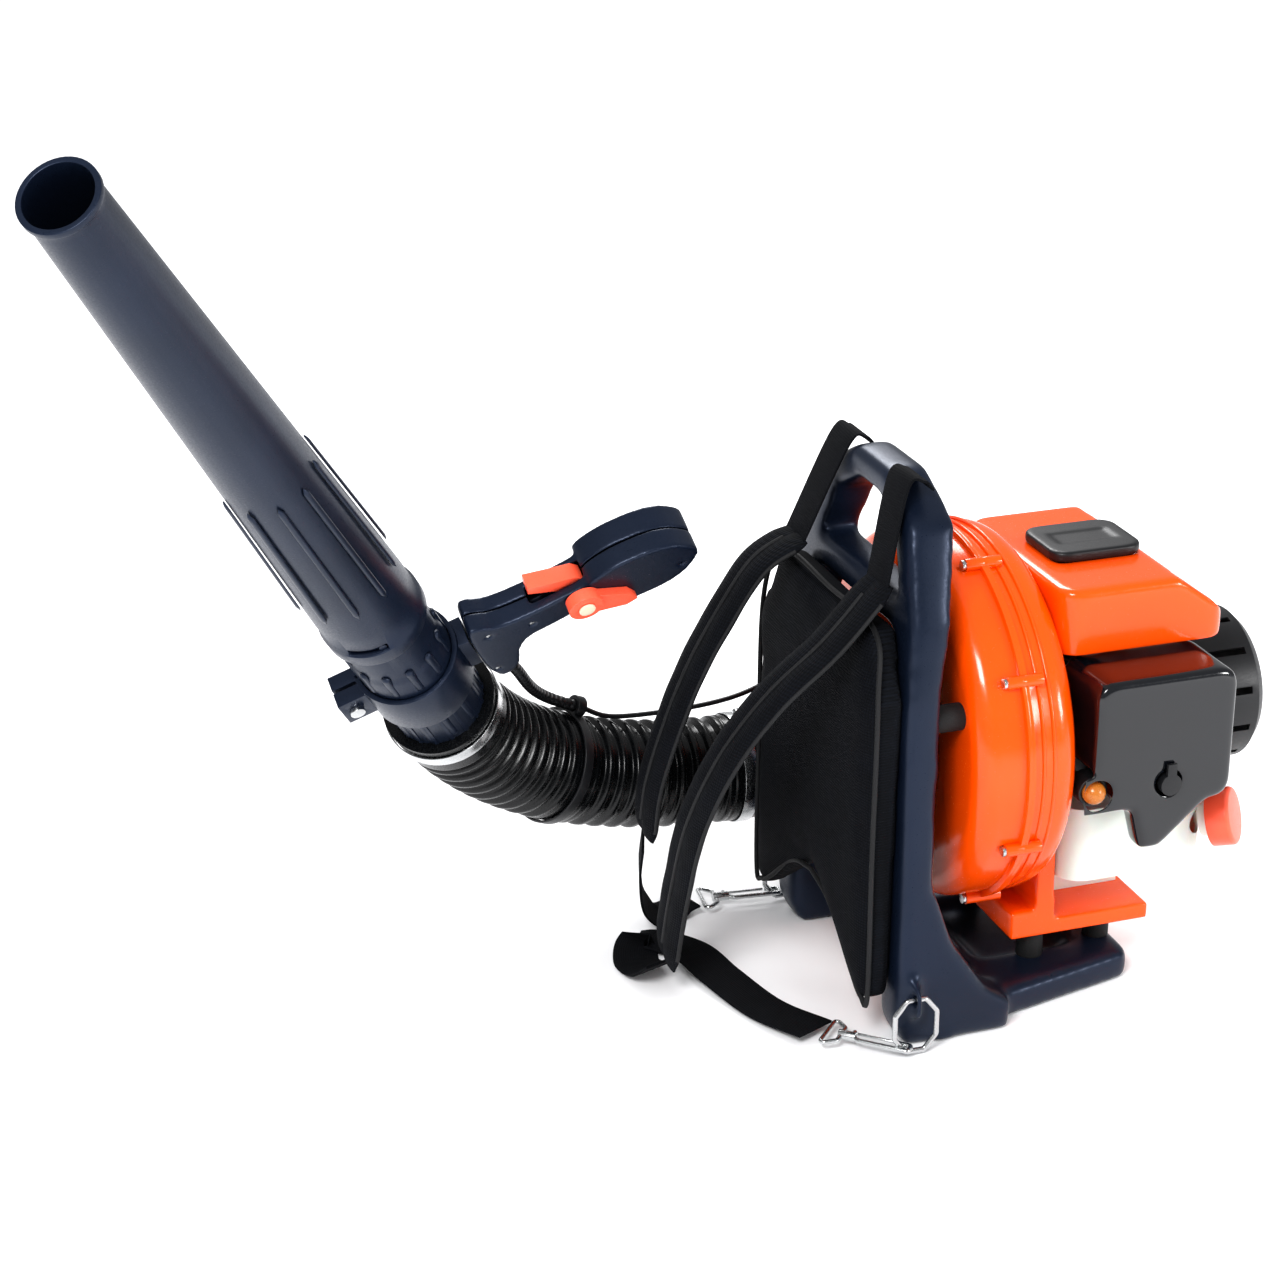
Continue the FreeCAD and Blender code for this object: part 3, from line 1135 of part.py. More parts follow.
def blower_hose():
    """Corrugated hose, one hollow bend from the elbow to the lower tube."""
    outside = pipe_loft(hose_stations(0, 1, size("HoseRadius"), 10))
    inside = pipe_loft(hose_stations(0, 1, size("HoseRadius - HoseWall"), 10))
    named(own_shape(outside.cut(inside)), "blower_hose")


def band_clamp(at, screw_way):
    """Worm-drive band with its screw housing, square to the hose."""
    middle, along = bezier(hose_curve(), at)
    radius = size("HoseRadius + ClipGap")
    band = Part.makeCylinder(radius + 1, 12, middle - along * 6, along)
    out = square_to(screw_way, along)
    across = along.cross(out)
    seat = middle + out * (radius + 5)
    housing = Part.makeCylinder(6, 14, seat - across * 7, across)
    screw = Part.makeCylinder(3.4, 26, seat - across * 13, across)
    inside = Part.makeCylinder(radius, 40, middle - along * 20, along)
    return band.fuse([housing, screw]).cut(inside)


def hose_clamps():
    named(own_shape(band_clamp(0.03, V(0.3, -0.3, 1))), "rear_hose_clamp")
    named(own_shape(band_clamp(0.965, V(0, 1, 0.2))), "front_hose_clamp")


def square_to(way, along):
    return (way - along * way.dot(along)).normalize()


def clip_eye():
    """Middle of the clip's eye, the hose's direction there and the way out of the hose."""
    place, along = bezier(hose_curve(), 0.5)
    out = square_to(V(0.25, 0, 1), along)
    return place + out * size("HoseRadius + ClipGap + 8"), along, out


def hose_cable_clip():
    """Plastic clip round the middle of the hose that holds the throttle conduit."""
    place, along = bezier(hose_curve(), 0.5)
    eye, _, _ = clip_eye()
    radius, wide = size("HoseRadius + ClipGap"), 9
    band = Part.makeCylinder(radius + 2.2, wide, place - along * wide / 2, along)
    lug = Part.makeCylinder(9, wide, eye - along * wide / 2, along)
    inside = Part.makeCylinder(radius, 3 * wide, place - along * 1.5 * wide, along)
    hole = Part.makeCylinder(size("ConduitRadius") + 0.4, 3 * wide, eye - along * 1.5 * wide, along)
    named(own_shape(band.fuse(lug).cut(inside).cut(hole)), "hose_cable_clip")


# ---- wand: tubes, clamp and handle, in the wand's own frame (Z along the wand, X to the handle) ------

def lower_tube():
    """Tube from inside the hose's cuff up to the nozzle's joint."""
    r, w, gap = "TubeRadius", "TubeWall", "JointGap"
    outline = [(f"{r} - {w}", "-CuffInside"), (f"{r}", "-CuffInside"), (f"{r}", "110"),
               (f"{r} - 2", "120"), (f"{r} - 2", "LowerTubeTop"), (f"{r} - 2 - {w}", "LowerTubeTop"),
               (f"{r} - 2 - {w}", "118"), (f"{r} - {w}", "108")]
    ribs = []
    for number in range(18):
        rib = Part.makeBox(1.2, 3, 60, V(size("TubeRadius") - 0.4, -1.5, -22))
        rib.rotate(V(0, 0, 0), Z_AXIS, 20 * number + 10)
        ribs.append(rib)
    body = turned(outline)
    pins = [rod("3", "4", ("0", "0", "0")) for _ in range(2)]
    for pin, way in zip(pins, (1, -1)):
        for axis in "xyz":
            pin.setExpression(f"Placement.Base.{axis}", None)
        pin.Placement = FreeCAD.Placement(
            V(0, way * (size("TubeRadius") - 3), size("LowerTubeTop") - 20),
            FreeCAD.Rotation(Z_AXIS, Y_AXIS * way))
    named(fused([body, own_shape(ribs[0].fuse(ribs[1:]))] + pins), "lower_tube", WAND)


def nozzle():
    """Tapered nozzle with a socket that slides over the lower tube and locks with a twist."""
    r, w, gap = "TubeRadius", "TubeWall", "JointGap"
    low, top = "LowerTubeTop - JointOverlap", "NozzleTop"
    sock = f"{r} - 2 + {gap}"
    outline = [(sock, low), (f"{sock} + 5", low), (f"{sock} + 5", f"{low} + 14"),
               (f"{sock} + 3", f"{low} + 18"), (f"{sock} + 3", "LowerTubeTop + 4"),
               ("MouthRadius", f"{top} - 12"), ("MouthRadius", f"{top} - 6"),
               ("MouthRadius + MouthRim", f"{top} - 5"), ("MouthRadius + MouthRim", top),
               (f"MouthRadius - {w}", top), (f"MouthRadius - {w}", f"{top} - 12"),
               (f"{sock} - 3", "LowerTubeTop + 3"), (sock, "LowerTubeTop + 1")]
    slots = [own_shape(slot_sector(way, size(sock))) for way in (1, -1)]
    named(cut(turned(outline), slots), "nozzle", WAND)


def slot_sector(way, socket):
    """Room for one locking pin: a sector of the socket's wall, 34 degrees long."""
    height = 7
    low = size("LowerTubeTop") - 20 - height / 2
    inner = Part.makeCylinder(socket - 2, height, V(0, 0, low))
    outer = Part.makeCylinder(socket + 6, height, V(0, 0, low), Z_AXIS, 46)
    outer.rotate(V(0, 0, 0), Z_AXIS, 90 * way - 40 if way == 1 else 270 - 40)
    return outer.cut(inner)


def handle_clamp():
    """Band that carries the handle on the lower tube, with its lug and bolt."""
    r = "TubeRadius + 0.8"
    band = turned(ring_profile(r, "TubeRadius + 0.8 + ClampWall", "ClampLow", "ClampHigh"))
    lug = block(("-TubeRadius - 26", "-14", "ClampLow + 8"), ("-TubeRadius - 2", "14", "ClampHigh - 8"))
    root = block(("TubeRadius + 2", "-12", "ClampLow + 4"), ("GripRoot + 6", "12", "ClampHigh - 4"))
    slit = block(("-TubeRadius - 30", "-1.5", "ClampLow - 1"), ("-TubeRadius + 1", "1.5", "ClampHigh + 1"))
    bore = rod(r, "60", ("0", "0", "ClampLow - 5"))
    hole = rod("3.1", "40", ("-TubeRadius - 15", "-20", "(ClampLow + ClampHigh) / 2"), Y_AXIS)
    named(cut(fused([band, lug, root]), [slit, bore, hole]), "handle_clamp", WAND)


def clamp_bolt():
    middle = ("-TubeRadius - 15", "-18", "(ClampLow + ClampHigh) / 2")
    head = ("-TubeRadius - 15", "14", "(ClampLow + ClampHigh) / 2")
    return fused([rod("3", "36", middle, Y_AXIS), rod("6", "4", head, Y_AXIS),
                  rod("6", "4", middle, Y_AXIS)])


def grip_outline():
    """Side outline of the handle, X away from the wand and Z along it."""
    low, high = "GripHeight - GripDepth / 2", "GripHeight + GripDepth / 2"
    head = "HeadMiddle"
    return [("GripRoot + 7", "ClampLow - 22"), ("GripRoot + 30", "ClampLow - 22"),
            ("GripRoot + 40", low), ("GripLength - 30", f"{low} + 2"), ("GripLength - 14", f"{low} + 5"),
            (f"GripLength", f"{low} - 4"), (f"{head} - 20", f"{low} - 12"), (f"{head} + 22", f"{low} - 12"),
            (f"{head} + HeadRadius", "GripHeight - 8"), (f"{head} + HeadRadius", "GripHeight + 4"),
            (f"{head} + 24", f"{high} + 10"), (f"{head} - 14", f"{high} + 14"),
            (f"{head} - 38", f"{high} + 8"), (f"{head} - 46", high), ("GripRoot + 34", f"{high} - 2"),
            ("GripRoot + 18", f"{high} + 12"), ("GripRoot + 7", f"{high} + 12")]


def corners_cut(points):
    """The closed outline with each corner cut, a quarter of the way along both its sides."""
    eased = []
    for here, after in zip(points, points[1:] + points[:1]):
        eased += [here * 0.75 + after * 0.25, here * 0.25 + after * 0.75]
    return eased


def inset_solid(outline, inset, low, high):
    """Outline of (x, z) values, rounded, moved inwards and padded over y."""
    points = corners_cut(corners_cut([V(size(x), 0, size(z)) for x, z in outline]))
    face = Part.Face(Part.makePolygon(points + points[:1]))
    if inset:
        face = face.makeOffset2D(-inset)
    moved = face.translated(V(0, low, 0))
    return moved.extrude(V(0, high - low, 0))


TRIGGER_X, TRIGGER_Z = "GripLength - 6", "GripHeight + 8"


def grip_half(near):
    """One moulded half of the handle; the parting line is y = 0 and the head is the thick end."""
    wall = size("GripWall")
    reach = size("GripBelow") if near else size("GripAbove")
    head_reach = size("GripBelow + 2") if near else size("HeadAbove")
    way = -1 if near else 1
    outline = grip_outline()
    body = inset_solid(outline, 0, *sorted((0, way * reach)))
    head = inset_solid(outline, 0, *sorted((0, way * head_reach)))
    split = Part.makeBox(200, 100, 200, V(size("GripLength + 2"), -50, 0))
    head = head.common(split)
    room = inset_solid(outline, wall, *sorted((-way, way * (reach - wall))))
    head_room = inset_solid(outline, wall, *sorted((-way, way * (head_reach - wall))))
    head_room = head_room.common(split.translated(V(wall, 0, 0)))
    shell = body.fuse(head).cut(room.fuse(head_room))
    pivot = V(size(TRIGGER_X), 0, size(TRIGGER_Z))
    shell = shell.cut(Part.makeCylinder(size("PivotRadius"), 80, pivot - V(0, 40, 0), Y_AXIS))
    width = size("TriggerWidth / 2 + TriggerGap")
    mouth = Part.makeBox(46, width * 2, 40, V(size("GripLength") - 44, -width, size("GripHeight") + 2))
    shell = shell.cut(mouth)
    for x, z in GRIP_SCREWS:
        place = V(size(x), 0, size(z))
        depth = head_reach if size(x) > size("HeadMiddle") else reach
        post = Part.makeCylinder(4.5, depth - 0.2, place, V(0, way, 0))
        shell = shell.fuse(post)
        shell = shell.cut(Part.makeCylinder(2, 80, place - V(0, 40, 0), Y_AXIS))
    saddle = Part.makeCylinder(size("TubeRadius + ClampWall") + 1.2, 300, V(0, 0, -100), Z_AXIS)
    return shell.cut(saddle)


GRIP_SCREWS = (("GripRoot + 14", "ClampLow - 8"), ("GripRoot + 22", "GripHeight + 10"),
               ("GripLength - 50", "GripHeight"), ("HeadMiddle + 28", "GripHeight - 10"))


def grip_halves():
    named(own_shape(grip_half(True)), "left_grip_half", WAND)
    named(own_shape(grip_half(False)), "right_grip_half", WAND)


def handle_screws():
    """Screws that close the handle's halves, and the bolt of the clamp."""
    screws = [clamp_bolt()]
    for x, z in GRIP_SCREWS:
        screws.append(rod("1.9", "GripBelow + GripAbove - 4", (x, "1 - GripBelow", z), Y_AXIS))
    named(group(screws), "handle_screws", WAND)


def trigger():
    """Throttle trigger: a fin in the handle's front, turning on the pivot pin."""
    half = size("TriggerWidth") / 2
    x, z = size(TRIGGER_X), size(TRIGGER_Z)
    points = [V(x - 6, 0, z - 5), V(x + 5, 0, z - 5), V(x + 7, 0, z + 4), V(x + 2, 0, z + 12),
              V(x - 18, 0, z + 20), V(x - 34, 0, z + 27), V(x - 36, 0, z + 19), V(x - 20, 0, z + 8)]
    fin = Part.Face(Part.makePolygon(points + points[:1])).translated(V(0, -half, 0))
    fin = fin.extrude(V(0, 2 * half, 0))
    pin = Part.makeCylinder(size("PivotRadius") + 0.1, 60, V(x, -30, z), Y_AXIS)
    named(own_shape(fin.cut(pin)), "trigger", WAND)


def pivot_pin():
    """Pin through trigger and lever, with its broad cap outside the lever."""
    pin = rod("PivotRadius - 0.05", "GripBelow + GripAbove + 10.6",
              (TRIGGER_X, "-GripBelow - 12.6", TRIGGER_Z), Y_AXIS)
    cap = rod("6.5", "2", (TRIGGER_X, "-GripBelow - 14.6", TRIGGER_Z), Y_AXIS)
    named(fused([pin, cap]), "pivot_pin", WAND)


def trigger_spring():
    """Closed coil of spring wire beside the trigger on its pin."""
    coils = []
    for number in range(4):
        coil = doc.addObject("Part::Torus", "Coil")
        coil.Radius1, coil.Radius2 = size("PivotRadius") + 1.4, 0.55
        coil.Placement.Rotation = FreeCAD.Rotation(Z_AXIS, Y_AXIS)
        for axis, place in zip("xyz", (TRIGGER_X, f"TriggerWidth / 2 + 0.9 + {number}", TRIGGER_Z)):
            bind(coil, f"Placement.Base.{axis}", place)
        coils.append(coil)
    named(fused(coils), "trigger_spring", WAND)


def cruise_lever():
    """Side lever that holds the trigger part open."""
    x, z, face = TRIGGER_X, TRIGGER_Z, "-GripBelow - 2.3"
    hub = rod("14", "10", (x, f"{face} - 10", z), Y_AXIS)
    points = [(f"{x} + 2", f"{z} + 13"), (f"{x} + 34", f"{z} - 12"), (f"{x} + 38", f"{z} - 24"),
              (f"{x} + 28", f"{z} - 26"), (f"{x} - 4", f"{z} - 12")]
    arm = slab("XZ_Plane", [points], "GripBelow + 2.3", "7")
    hole = rod("PivotRadius + 0.1", "30", (x, f"{face} - 20", z), Y_AXIS)
    keep = block((f"{x} - 20", f"{face} - 10", f"{z} - 40"), (f"{x} + 50", face, f"{z} + 40"))
    named(cut(shared(fused([hub, arm]), keep), [hole]), "cruise_lever", WAND)


def throttle_conduit():
    """Throttle cable in its sleeve: from the handle's foot to the hose clip, and on to the engine."""
    start = WAND.multVec(V(size("GripRoot") + 19, 0, size("ClampLow") - 24))
    down = WAND_TURN.multVec(V(0.2, 0, -1)).normalize()
    eye, along, _ = clip_eye()
    radius = size("ConduitRadius")
    near = (start, start + down * 55, eye + along * 66, eye + along * 5)
    stations = [(*bezier(near, step / 8), radius) for step in range(9)]
    gap = size("VoluteRearX") + 3.4
    bends = [eye - along * 5, eye - along * 50, V(-130, 196, 174), V(-62, 206, 196), V(0, 206, 242),
             V(gap, 202, 262), V(gap, 150, 291), V(gap, -50, 291), V(gap, -50, 252),
             V(size("CylinderX") - 22, -50, 252)]
    far = round_bar(bends, size("CableRadius"), 6)
    named(group([own_shape(pipe_loft(stations)), own_shape(far)]), "throttle_conduit")


for build in (backpack_frame, back_pad, shoulder_straps, lower_webbing, upper_webbing,
              harness_rings, snap_hooks, volute, volute_screws, fan_impeller, outlet_elbow,
              crankcase, bearings, cylinder, piston, spark_plug, spark_plug_boot, crankshaft,
              flywheel, ignition_coil, muffler, starter_housing, starter_pulley, starter_handle,
              engine_bracket, rubber_isolators, engine_top_cover, plug_cover, carburettor,
              throttle_arm, air_cleaner_base, air_filter, air_cleaner_cover, choke_lever,
              primer_bulb, fuel_tank, fuel_cap, cap_gasket, fuel_line, blower_hose, hose_clamps,
              hose_cable_clip, lower_tube, nozzle, handle_clamp, grip_halves, handle_screws,
              trigger, pivot_pin, trigger_spring, cruise_lever, throttle_conduit):
    build()
doc.recompute()

faults = [item.Name for item in doc.Objects if {"Invalid", "Error"} & set(item.State)]
if faults:
    raise RuntimeError(f"objects that did not build: {faults}")
for part in SUB_PARTS:
    if part.Shape.isNull() or not part.Shape.isValid() or not part.Shape.Solids:
        raise RuntimeError(f"{part.Label} has no valid solid")

os.makedirs("parts", exist_ok=True)
for part in SUB_PARTS:
    part.Shape.exportStep(f"parts/{part.Label}.step")
print(len(SUB_PARTS), "sub-parts")
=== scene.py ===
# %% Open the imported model
import json
import math

import bmesh
import bpy
import numpy as np
from mathutils import Matrix, Vector, geometry

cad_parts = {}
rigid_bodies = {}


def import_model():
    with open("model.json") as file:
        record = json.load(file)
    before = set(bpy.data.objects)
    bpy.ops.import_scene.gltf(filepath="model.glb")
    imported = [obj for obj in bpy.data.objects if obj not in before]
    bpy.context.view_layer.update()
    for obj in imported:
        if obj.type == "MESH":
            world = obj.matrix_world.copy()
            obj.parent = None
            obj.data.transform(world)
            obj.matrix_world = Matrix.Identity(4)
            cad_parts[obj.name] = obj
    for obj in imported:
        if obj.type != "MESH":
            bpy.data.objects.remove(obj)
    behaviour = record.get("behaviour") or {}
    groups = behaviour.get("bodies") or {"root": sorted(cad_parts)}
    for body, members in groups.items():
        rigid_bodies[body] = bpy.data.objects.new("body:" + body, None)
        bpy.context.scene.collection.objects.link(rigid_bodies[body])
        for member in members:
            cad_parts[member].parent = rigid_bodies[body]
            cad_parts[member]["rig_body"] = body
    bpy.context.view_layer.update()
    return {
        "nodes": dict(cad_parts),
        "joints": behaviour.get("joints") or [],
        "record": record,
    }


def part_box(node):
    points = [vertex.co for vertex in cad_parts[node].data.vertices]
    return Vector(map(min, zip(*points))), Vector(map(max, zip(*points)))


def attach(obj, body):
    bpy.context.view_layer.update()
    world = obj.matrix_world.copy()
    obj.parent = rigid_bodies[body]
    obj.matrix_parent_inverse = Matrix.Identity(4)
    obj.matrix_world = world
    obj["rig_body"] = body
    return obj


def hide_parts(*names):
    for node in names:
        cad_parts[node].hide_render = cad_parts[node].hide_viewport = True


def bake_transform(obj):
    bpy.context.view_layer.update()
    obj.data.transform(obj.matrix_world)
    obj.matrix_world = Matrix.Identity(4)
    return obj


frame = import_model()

NODES = frame["nodes"]
JOINTS = {joint["name"]: joint for joint in frame["joints"]}
SLOTS = {row["node"]: row["material_slot"] for row in frame["record"]["subparts"]}

# %% [markdown]
# Colours are written the way a paint shop or a screen names them, as sRGB hex. Blender mixes light
# in linear values, so one function turns a hex colour into those. Another adds any kind of node
# with its settings and links, so a material reads as a short list of what it's made of.

# %% Colours and nodes
def linear(text):
    parts = [int(text[at:at + 2], 16) / 255 for at in (1, 3, 5)]
    bent = [p / 12.92 if p <= 0.04045 else ((p + 0.055) / 1.055) ** 2.4 for p in parts]
    return (*bent, 1.0)


def add(tree, kind, inputs=None, **settings):
    made = tree.nodes.new(kind)
    for key, value in settings.items():
        setattr(made, key, value)
    for key, value in (inputs or {}).items():
        if isinstance(value, bpy.types.NodeSocket):
            tree.links.new(value, made.inputs[key])
        else:
            made.inputs[key].default_value = value
    return made


# %% [markdown]
# Moulded plastic is never one flat colour: the mould's texture breaks up the gloss, and handling
# leaves areas a shade lighter. Each finish below starts from two close colours mixed by a broad
# noise, a grain of a stated size in millimetres that drives the height, and a roughness that
# wanders a little. One recipe with different numbers serves for plastic, rubber and metal.

# %% A finish with grain
def finish(name, dark, light, rough, grain_mm, height_mm, metal=0.0, spread=0.08, **shader):
    material = bpy.data.materials.new(name)
    material.use_nodes = True
    tree = material.node_tree
    tree.nodes.clear()
    place = add(tree, "ShaderNodeTexCoord").outputs["Object"]
    broad = add(tree, "ShaderNodeTexNoise", {"Vector": place, "Scale": 14.0, "Detail": 5.0})
    grain = add(tree, "ShaderNodeTexNoise",
                {"Vector": place, "Scale": 1000 / grain_mm, "Detail": 3.0, "Roughness": 0.6})
    tone = add(tree, "ShaderNodeMix", {"Factor": broad.outputs["Fac"]}, data_type="RGBA")
    tone.inputs[6].default_value = linear(dark)
    tone.inputs[7].default_value = linear(light)
    wander = add(tree, "ShaderNodeMapRange",
                 {"Value": grain.outputs["Fac"], "From Min": 0.3, "From Max": 0.7,
                  "To Min": max(rough - spread, 0.03), "To Max": min(rough + spread, 1.0)})
    bump = add(tree, "ShaderNodeBump",
               {"Height": grain.outputs["Fac"], "Strength": 0.6, "Distance": height_mm / 1000})
    body = add(tree, "ShaderNodeBsdfPrincipled",
               {"Base Color": tone.outputs[2], "Roughness": wander.outputs["Result"],
                "Metallic": metal, "Normal": bump.outputs["Normal"], **shader})
    out = add(tree, "ShaderNodeOutputMaterial")
    tree.links.new(body.outputs["BSDF"], out.inputs["Surface"])
    return material


FINISHES = {
    # blow-moulded polyethylene: a soft sheen over a blasted texture
    "slate_plastic": finish("blow-moulded slate polyethylene", "#0b121d", "#151e2f", 0.35, 1.3, 0.06,
                            **{"Specular Tint": linear("#c9d6f4")}),
    # gloss ABS: polished mould, so the grain is shallow
    "orange_shell": finish("gloss orange ABS", "#ea4c00", "#f45600", 0.20, 2.2, 0.03,
                           **{"Coat Weight": 0.3, "Coat Roughness": 0.1, "Specular IOR Level": 0.35}),
    "black_plastic": finish("textured black nylon", "#101113", "#1c1d20", 0.42, 1.1, 0.09),
    "gloss_black": finish("gloss black polypropylene", "#05070b", "#0b0f16", 0.15, 2.5, 0.02,
                          spread=0.04, **{"Coat Weight": 0.5, "Coat Roughness": 0.04}),
    # the hose leaves the corrugator a little duller than a moulded cover
    "hose_black": finish("corrugated black polyethylene", "#040506", "#090b0e", 0.27, 1.8, 0.03,
                         **{"Specular IOR Level": 0.4}),
    "rubber": finish("moulded black rubber", "#0f0f10", "#1a1a1b", 0.72, 0.9, 0.12),
    # bright zinc plate: fine rolled grain
    "bright_steel": finish("bright zinc-plated steel", "#b9bcbe", "#d7d8d8", 0.24, 0.7, 0.03, 1.0),
    # die-cast aluminium: a sandy skin from the die
    "cast_aluminium": finish("die-cast aluminium", "#8d9093", "#a8abad", 0.46, 1.2, 0.16, 1.0),
    "black_steel": finish("heat-proof black paint", "#17181a", "#222325", 0.62, 0.8, 0.08),
    "filter_felt": finish("grey filter felt", "#8c8a82", "#a6a399", 0.95, 1.6, 0.5),
    "milky_plastic": finish("natural polyethylene", "#d9dad2", "#ecece6", 0.38, 1.5, 0.06,
                            **{"Subsurface Weight": 0.3, "Subsurface Scale": 0.01}),
    "coral_plastic": finish("coral acetal", "#f4573c", "#fb6a4c", 0.34, 1.2, 0.05,
                            **{"Subsurface Weight": 0.1, "Subsurface Scale": 0.003}),
    "cream_plastic": finish("cream acetal", "#cfc6ab", "#ddd5bd", 0.4, 1.2, 0.05),
    "amber_plastic": finish("clear amber polyurethane", "#c8752a", "#de8f3c", 0.22, 1.8, 0.04,
                            **{"Transmission Weight": 0.35, "IOR": 1.5}),
}
print(len(FINISHES), "moulded and metal finishes")

# %% [markdown]
# Polyester textiles show their threads. The pads are a plain weave, so two sets of waves cross at
# thread spacing; the real threads are about half a millimetre apart, and they're drawn at 2.4 mm so
# that they show. The webbing is woven with ribs across it, so its pattern follows the strap: a UV
# map that runs along the strap in metres carries it round every bend.

# %% Woven finishes
BANDS_AT_ONE = 3.2  # bands in a metre of a wave texture whose scale is 1


def woven(name, dark, light, pitch_mm, along_strap):
    material = bpy.data.materials.new(name)
    material.use_nodes = True
    tree = material.node_tree
    tree.nodes.clear()
    where = add(tree, "ShaderNodeTexCoord").outputs["UV" if along_strap else "Object"]
    waves = [add(tree, "ShaderNodeTexWave",
                 {"Vector": where, "Scale": 1000 / pitch_mm / BANDS_AT_ONE,
                  "Distortion": 0.5, "Detail": 1.0},
                 bands_direction=way) for way in (("Y", "X") if along_strap else ("Y", "Z"))]
    threads = add(tree, "ShaderNodeMath",
                  {0: waves[0].outputs["Fac"], 1: waves[1].outputs["Fac"]},
                  operation="ADD" if not along_strap else "MAXIMUM")
    fuzz = add(tree, "ShaderNodeTexNoise", {"Vector": where, "Scale": 60.0, "Detail": 6.0})
    shade = add(tree, "ShaderNodeMath", {0: threads.outputs[0], 1: fuzz.outputs["Fac"]},
                operation="MULTIPLY")
    tone = add(tree, "ShaderNodeMix", {0: shade.outputs[0]}, data_type="RGBA")
    tone.inputs[6].default_value = linear(dark)
    tone.inputs[7].default_value = linear(light)
    bump = add(tree, "ShaderNodeBump",
               {"Height": threads.outputs[0], "Strength": 0.7, "Distance": 0.0004})
    body = add(tree, "ShaderNodeBsdfPrincipled",
               {"Base Color": tone.outputs[2], "Roughness": 0.86, "Specular IOR Level": 0.2,
                "Normal": bump.outputs["Normal"]})
    out = add(tree, "ShaderNodeOutputMaterial")
    tree.links.new(body.outputs["BSDF"], out.inputs["Surface"])
    return material


FINISHES["pad_fabric"] = woven("plain-weave polyester", "#020306", "#0a0e16", 2.4, False)
FINISHES["webbing"] = woven("ribbed polyester webbing", "#030407", "#0e1118", 1.9, True)
FINISHES["piping"] = finish("twisted polyester cord", "#08090a", "#15161a", 0.7, 0.9, 0.25)

# %% [markdown]
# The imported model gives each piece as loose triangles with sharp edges. A real moulding has a
# radius on every edge, which is what catches the light. So a piece is copied, its doubled corners
# are joined, flat areas are made one face, and a Bevel modifier rounds the sharp edges only. The
# other way, rounding in the CAD, would have to be right for every fillet at once.

# %% Copying and softening pieces
SHARP_DEGREES = 38  # an edge that turns more than this is rounded, or left sharp to the eye


def new_object(name, points, faces):
    mesh = bpy.data.meshes.new(name)
    mesh.from_pydata([tuple(p) for p in points], [], [tuple(f) for f in faces])
    mesh.validate()
    made = bpy.data.objects.new(name.replace(" ", "_"), mesh)
    bpy.context.scene.collection.objects.link(made)
    return made


def outward(made):
    work = bmesh.new()
    work.from_mesh(made.data)
    bmesh.ops.remove_doubles(work, verts=work.verts, dist=1e-6)
    bmesh.ops.recalc_face_normals(work, faces=work.faces)
    work.to_mesh(made.data)
    work.free()
    return made


def smooth(made, degrees=SHARP_DEGREES):
    made.data.polygons.foreach_set("use_smooth", [True] * len(made.data.polygons))
    made.data.set_sharp_from_angle(angle=math.radians(degrees))
    return made


def copied(node, name):
    source = NODES[node].data
    made = new_object(name, [v.co for v in source.vertices], [p.vertices for p in source.polygons])
    work = bmesh.new()
    work.from_mesh(made.data)
    bmesh.ops.remove_doubles(work, verts=work.verts, dist=3e-6)
    bmesh.ops.dissolve_limit(work, angle_limit=math.radians(0.6), verts=work.verts, edges=work.edges)
    work.to_mesh(made.data)
    work.free()
    return made


def settled(made):
    """The piece with its modifiers worked out and gone."""
    seen = made.evaluated_get(bpy.context.evaluated_depsgraph_get())
    mesh = bpy.data.meshes.new_from_object(seen)
    made.modifiers.clear()
    made.data = mesh
    return made


def dressed(made, slot, body, *nodes):
    made.data.materials.clear()
    made.data.materials.append(FINISHES[slot])
    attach(made, body)
    if nodes:
        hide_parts(*nodes)
    return made


def moulded(node, bevel_mm):
    made = copied(node, f"{node} moulded")
    if bevel_mm:
        bevel = made.modifiers.new("edges", "BEVEL")
        bevel.width = bevel_mm / 1000
        bevel.segments = 3
        bevel.limit_method = "ANGLE"
        bevel.angle_limit = math.radians(SHARP_DEGREES)
        bevel.use_clamp_overlap = True
        settled(made)
    smooth(made)
    return dressed(made, SLOTS[node], NODES[node]["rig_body"], node)


def remoulded(node, voxel_mm, rounds):
    made = copied(node, f"{node} moulded")
    remesh = made.modifiers.new("skin", "REMESH")
    remesh.mode = "VOXEL"
    remesh.voxel_size = voxel_mm / 1000
    relax = made.modifiers.new("relax", "SMOOTH")
    relax.iterations = rounds
    relax.factor = 0.5
    return settled(made)


ROUNDING_MM = {
    "volute_front": 0.8, "volute_rear": 0.8, "volute_screws": 0.3, "fan_impeller": 0,
    "outlet_elbow": 0.6, "crankcase": 1.2, "main_bearings": 0.4, "cylinder": 0.5, "piston": 0.4,
    "spark_plug": 0.3, "spark_plug_boot": 1.5, "crankshaft": 0.4, "flywheel": 0.5,
    "ignition_coil": 0.8, "muffler": 1.2, "starter_housing": 0.6, "starter_pulley": 0.5,
    "starter_handle": 1.5, "rubber_isolators": 1.5, "carburettor": 0.8, "throttle_arm": 0.4,
    "air_cleaner_base": 0.8, "air_filter": 2.0, "choke_lever": 1.2, "primer_bulb": 1.0,
    "fuel_tank": 2.0, "fuel_cap": 1.6, "cap_gasket": 0.3, "fuel_line": 0.3,
    "front_hose_clamp": 0.3, "rear_hose_clamp": 0.3, "hose_cable_clip": 0.8, "lower_tube": 0.6,
    "nozzle": 0.9, "handle_clamp": 1.2, "handle_screws": 0.3, "trigger": 1.6, "pivot_pin": 0.5,
    "trigger_spring": 0, "cruise_lever": 1.4, "left_harness_ring": 0, "right_harness_ring": 0,
    "left_snap_hook": 0.3, "right_snap_hook": 0.3, "left_hook_gate": 0.2, "right_hook_gate": 0.2,
}
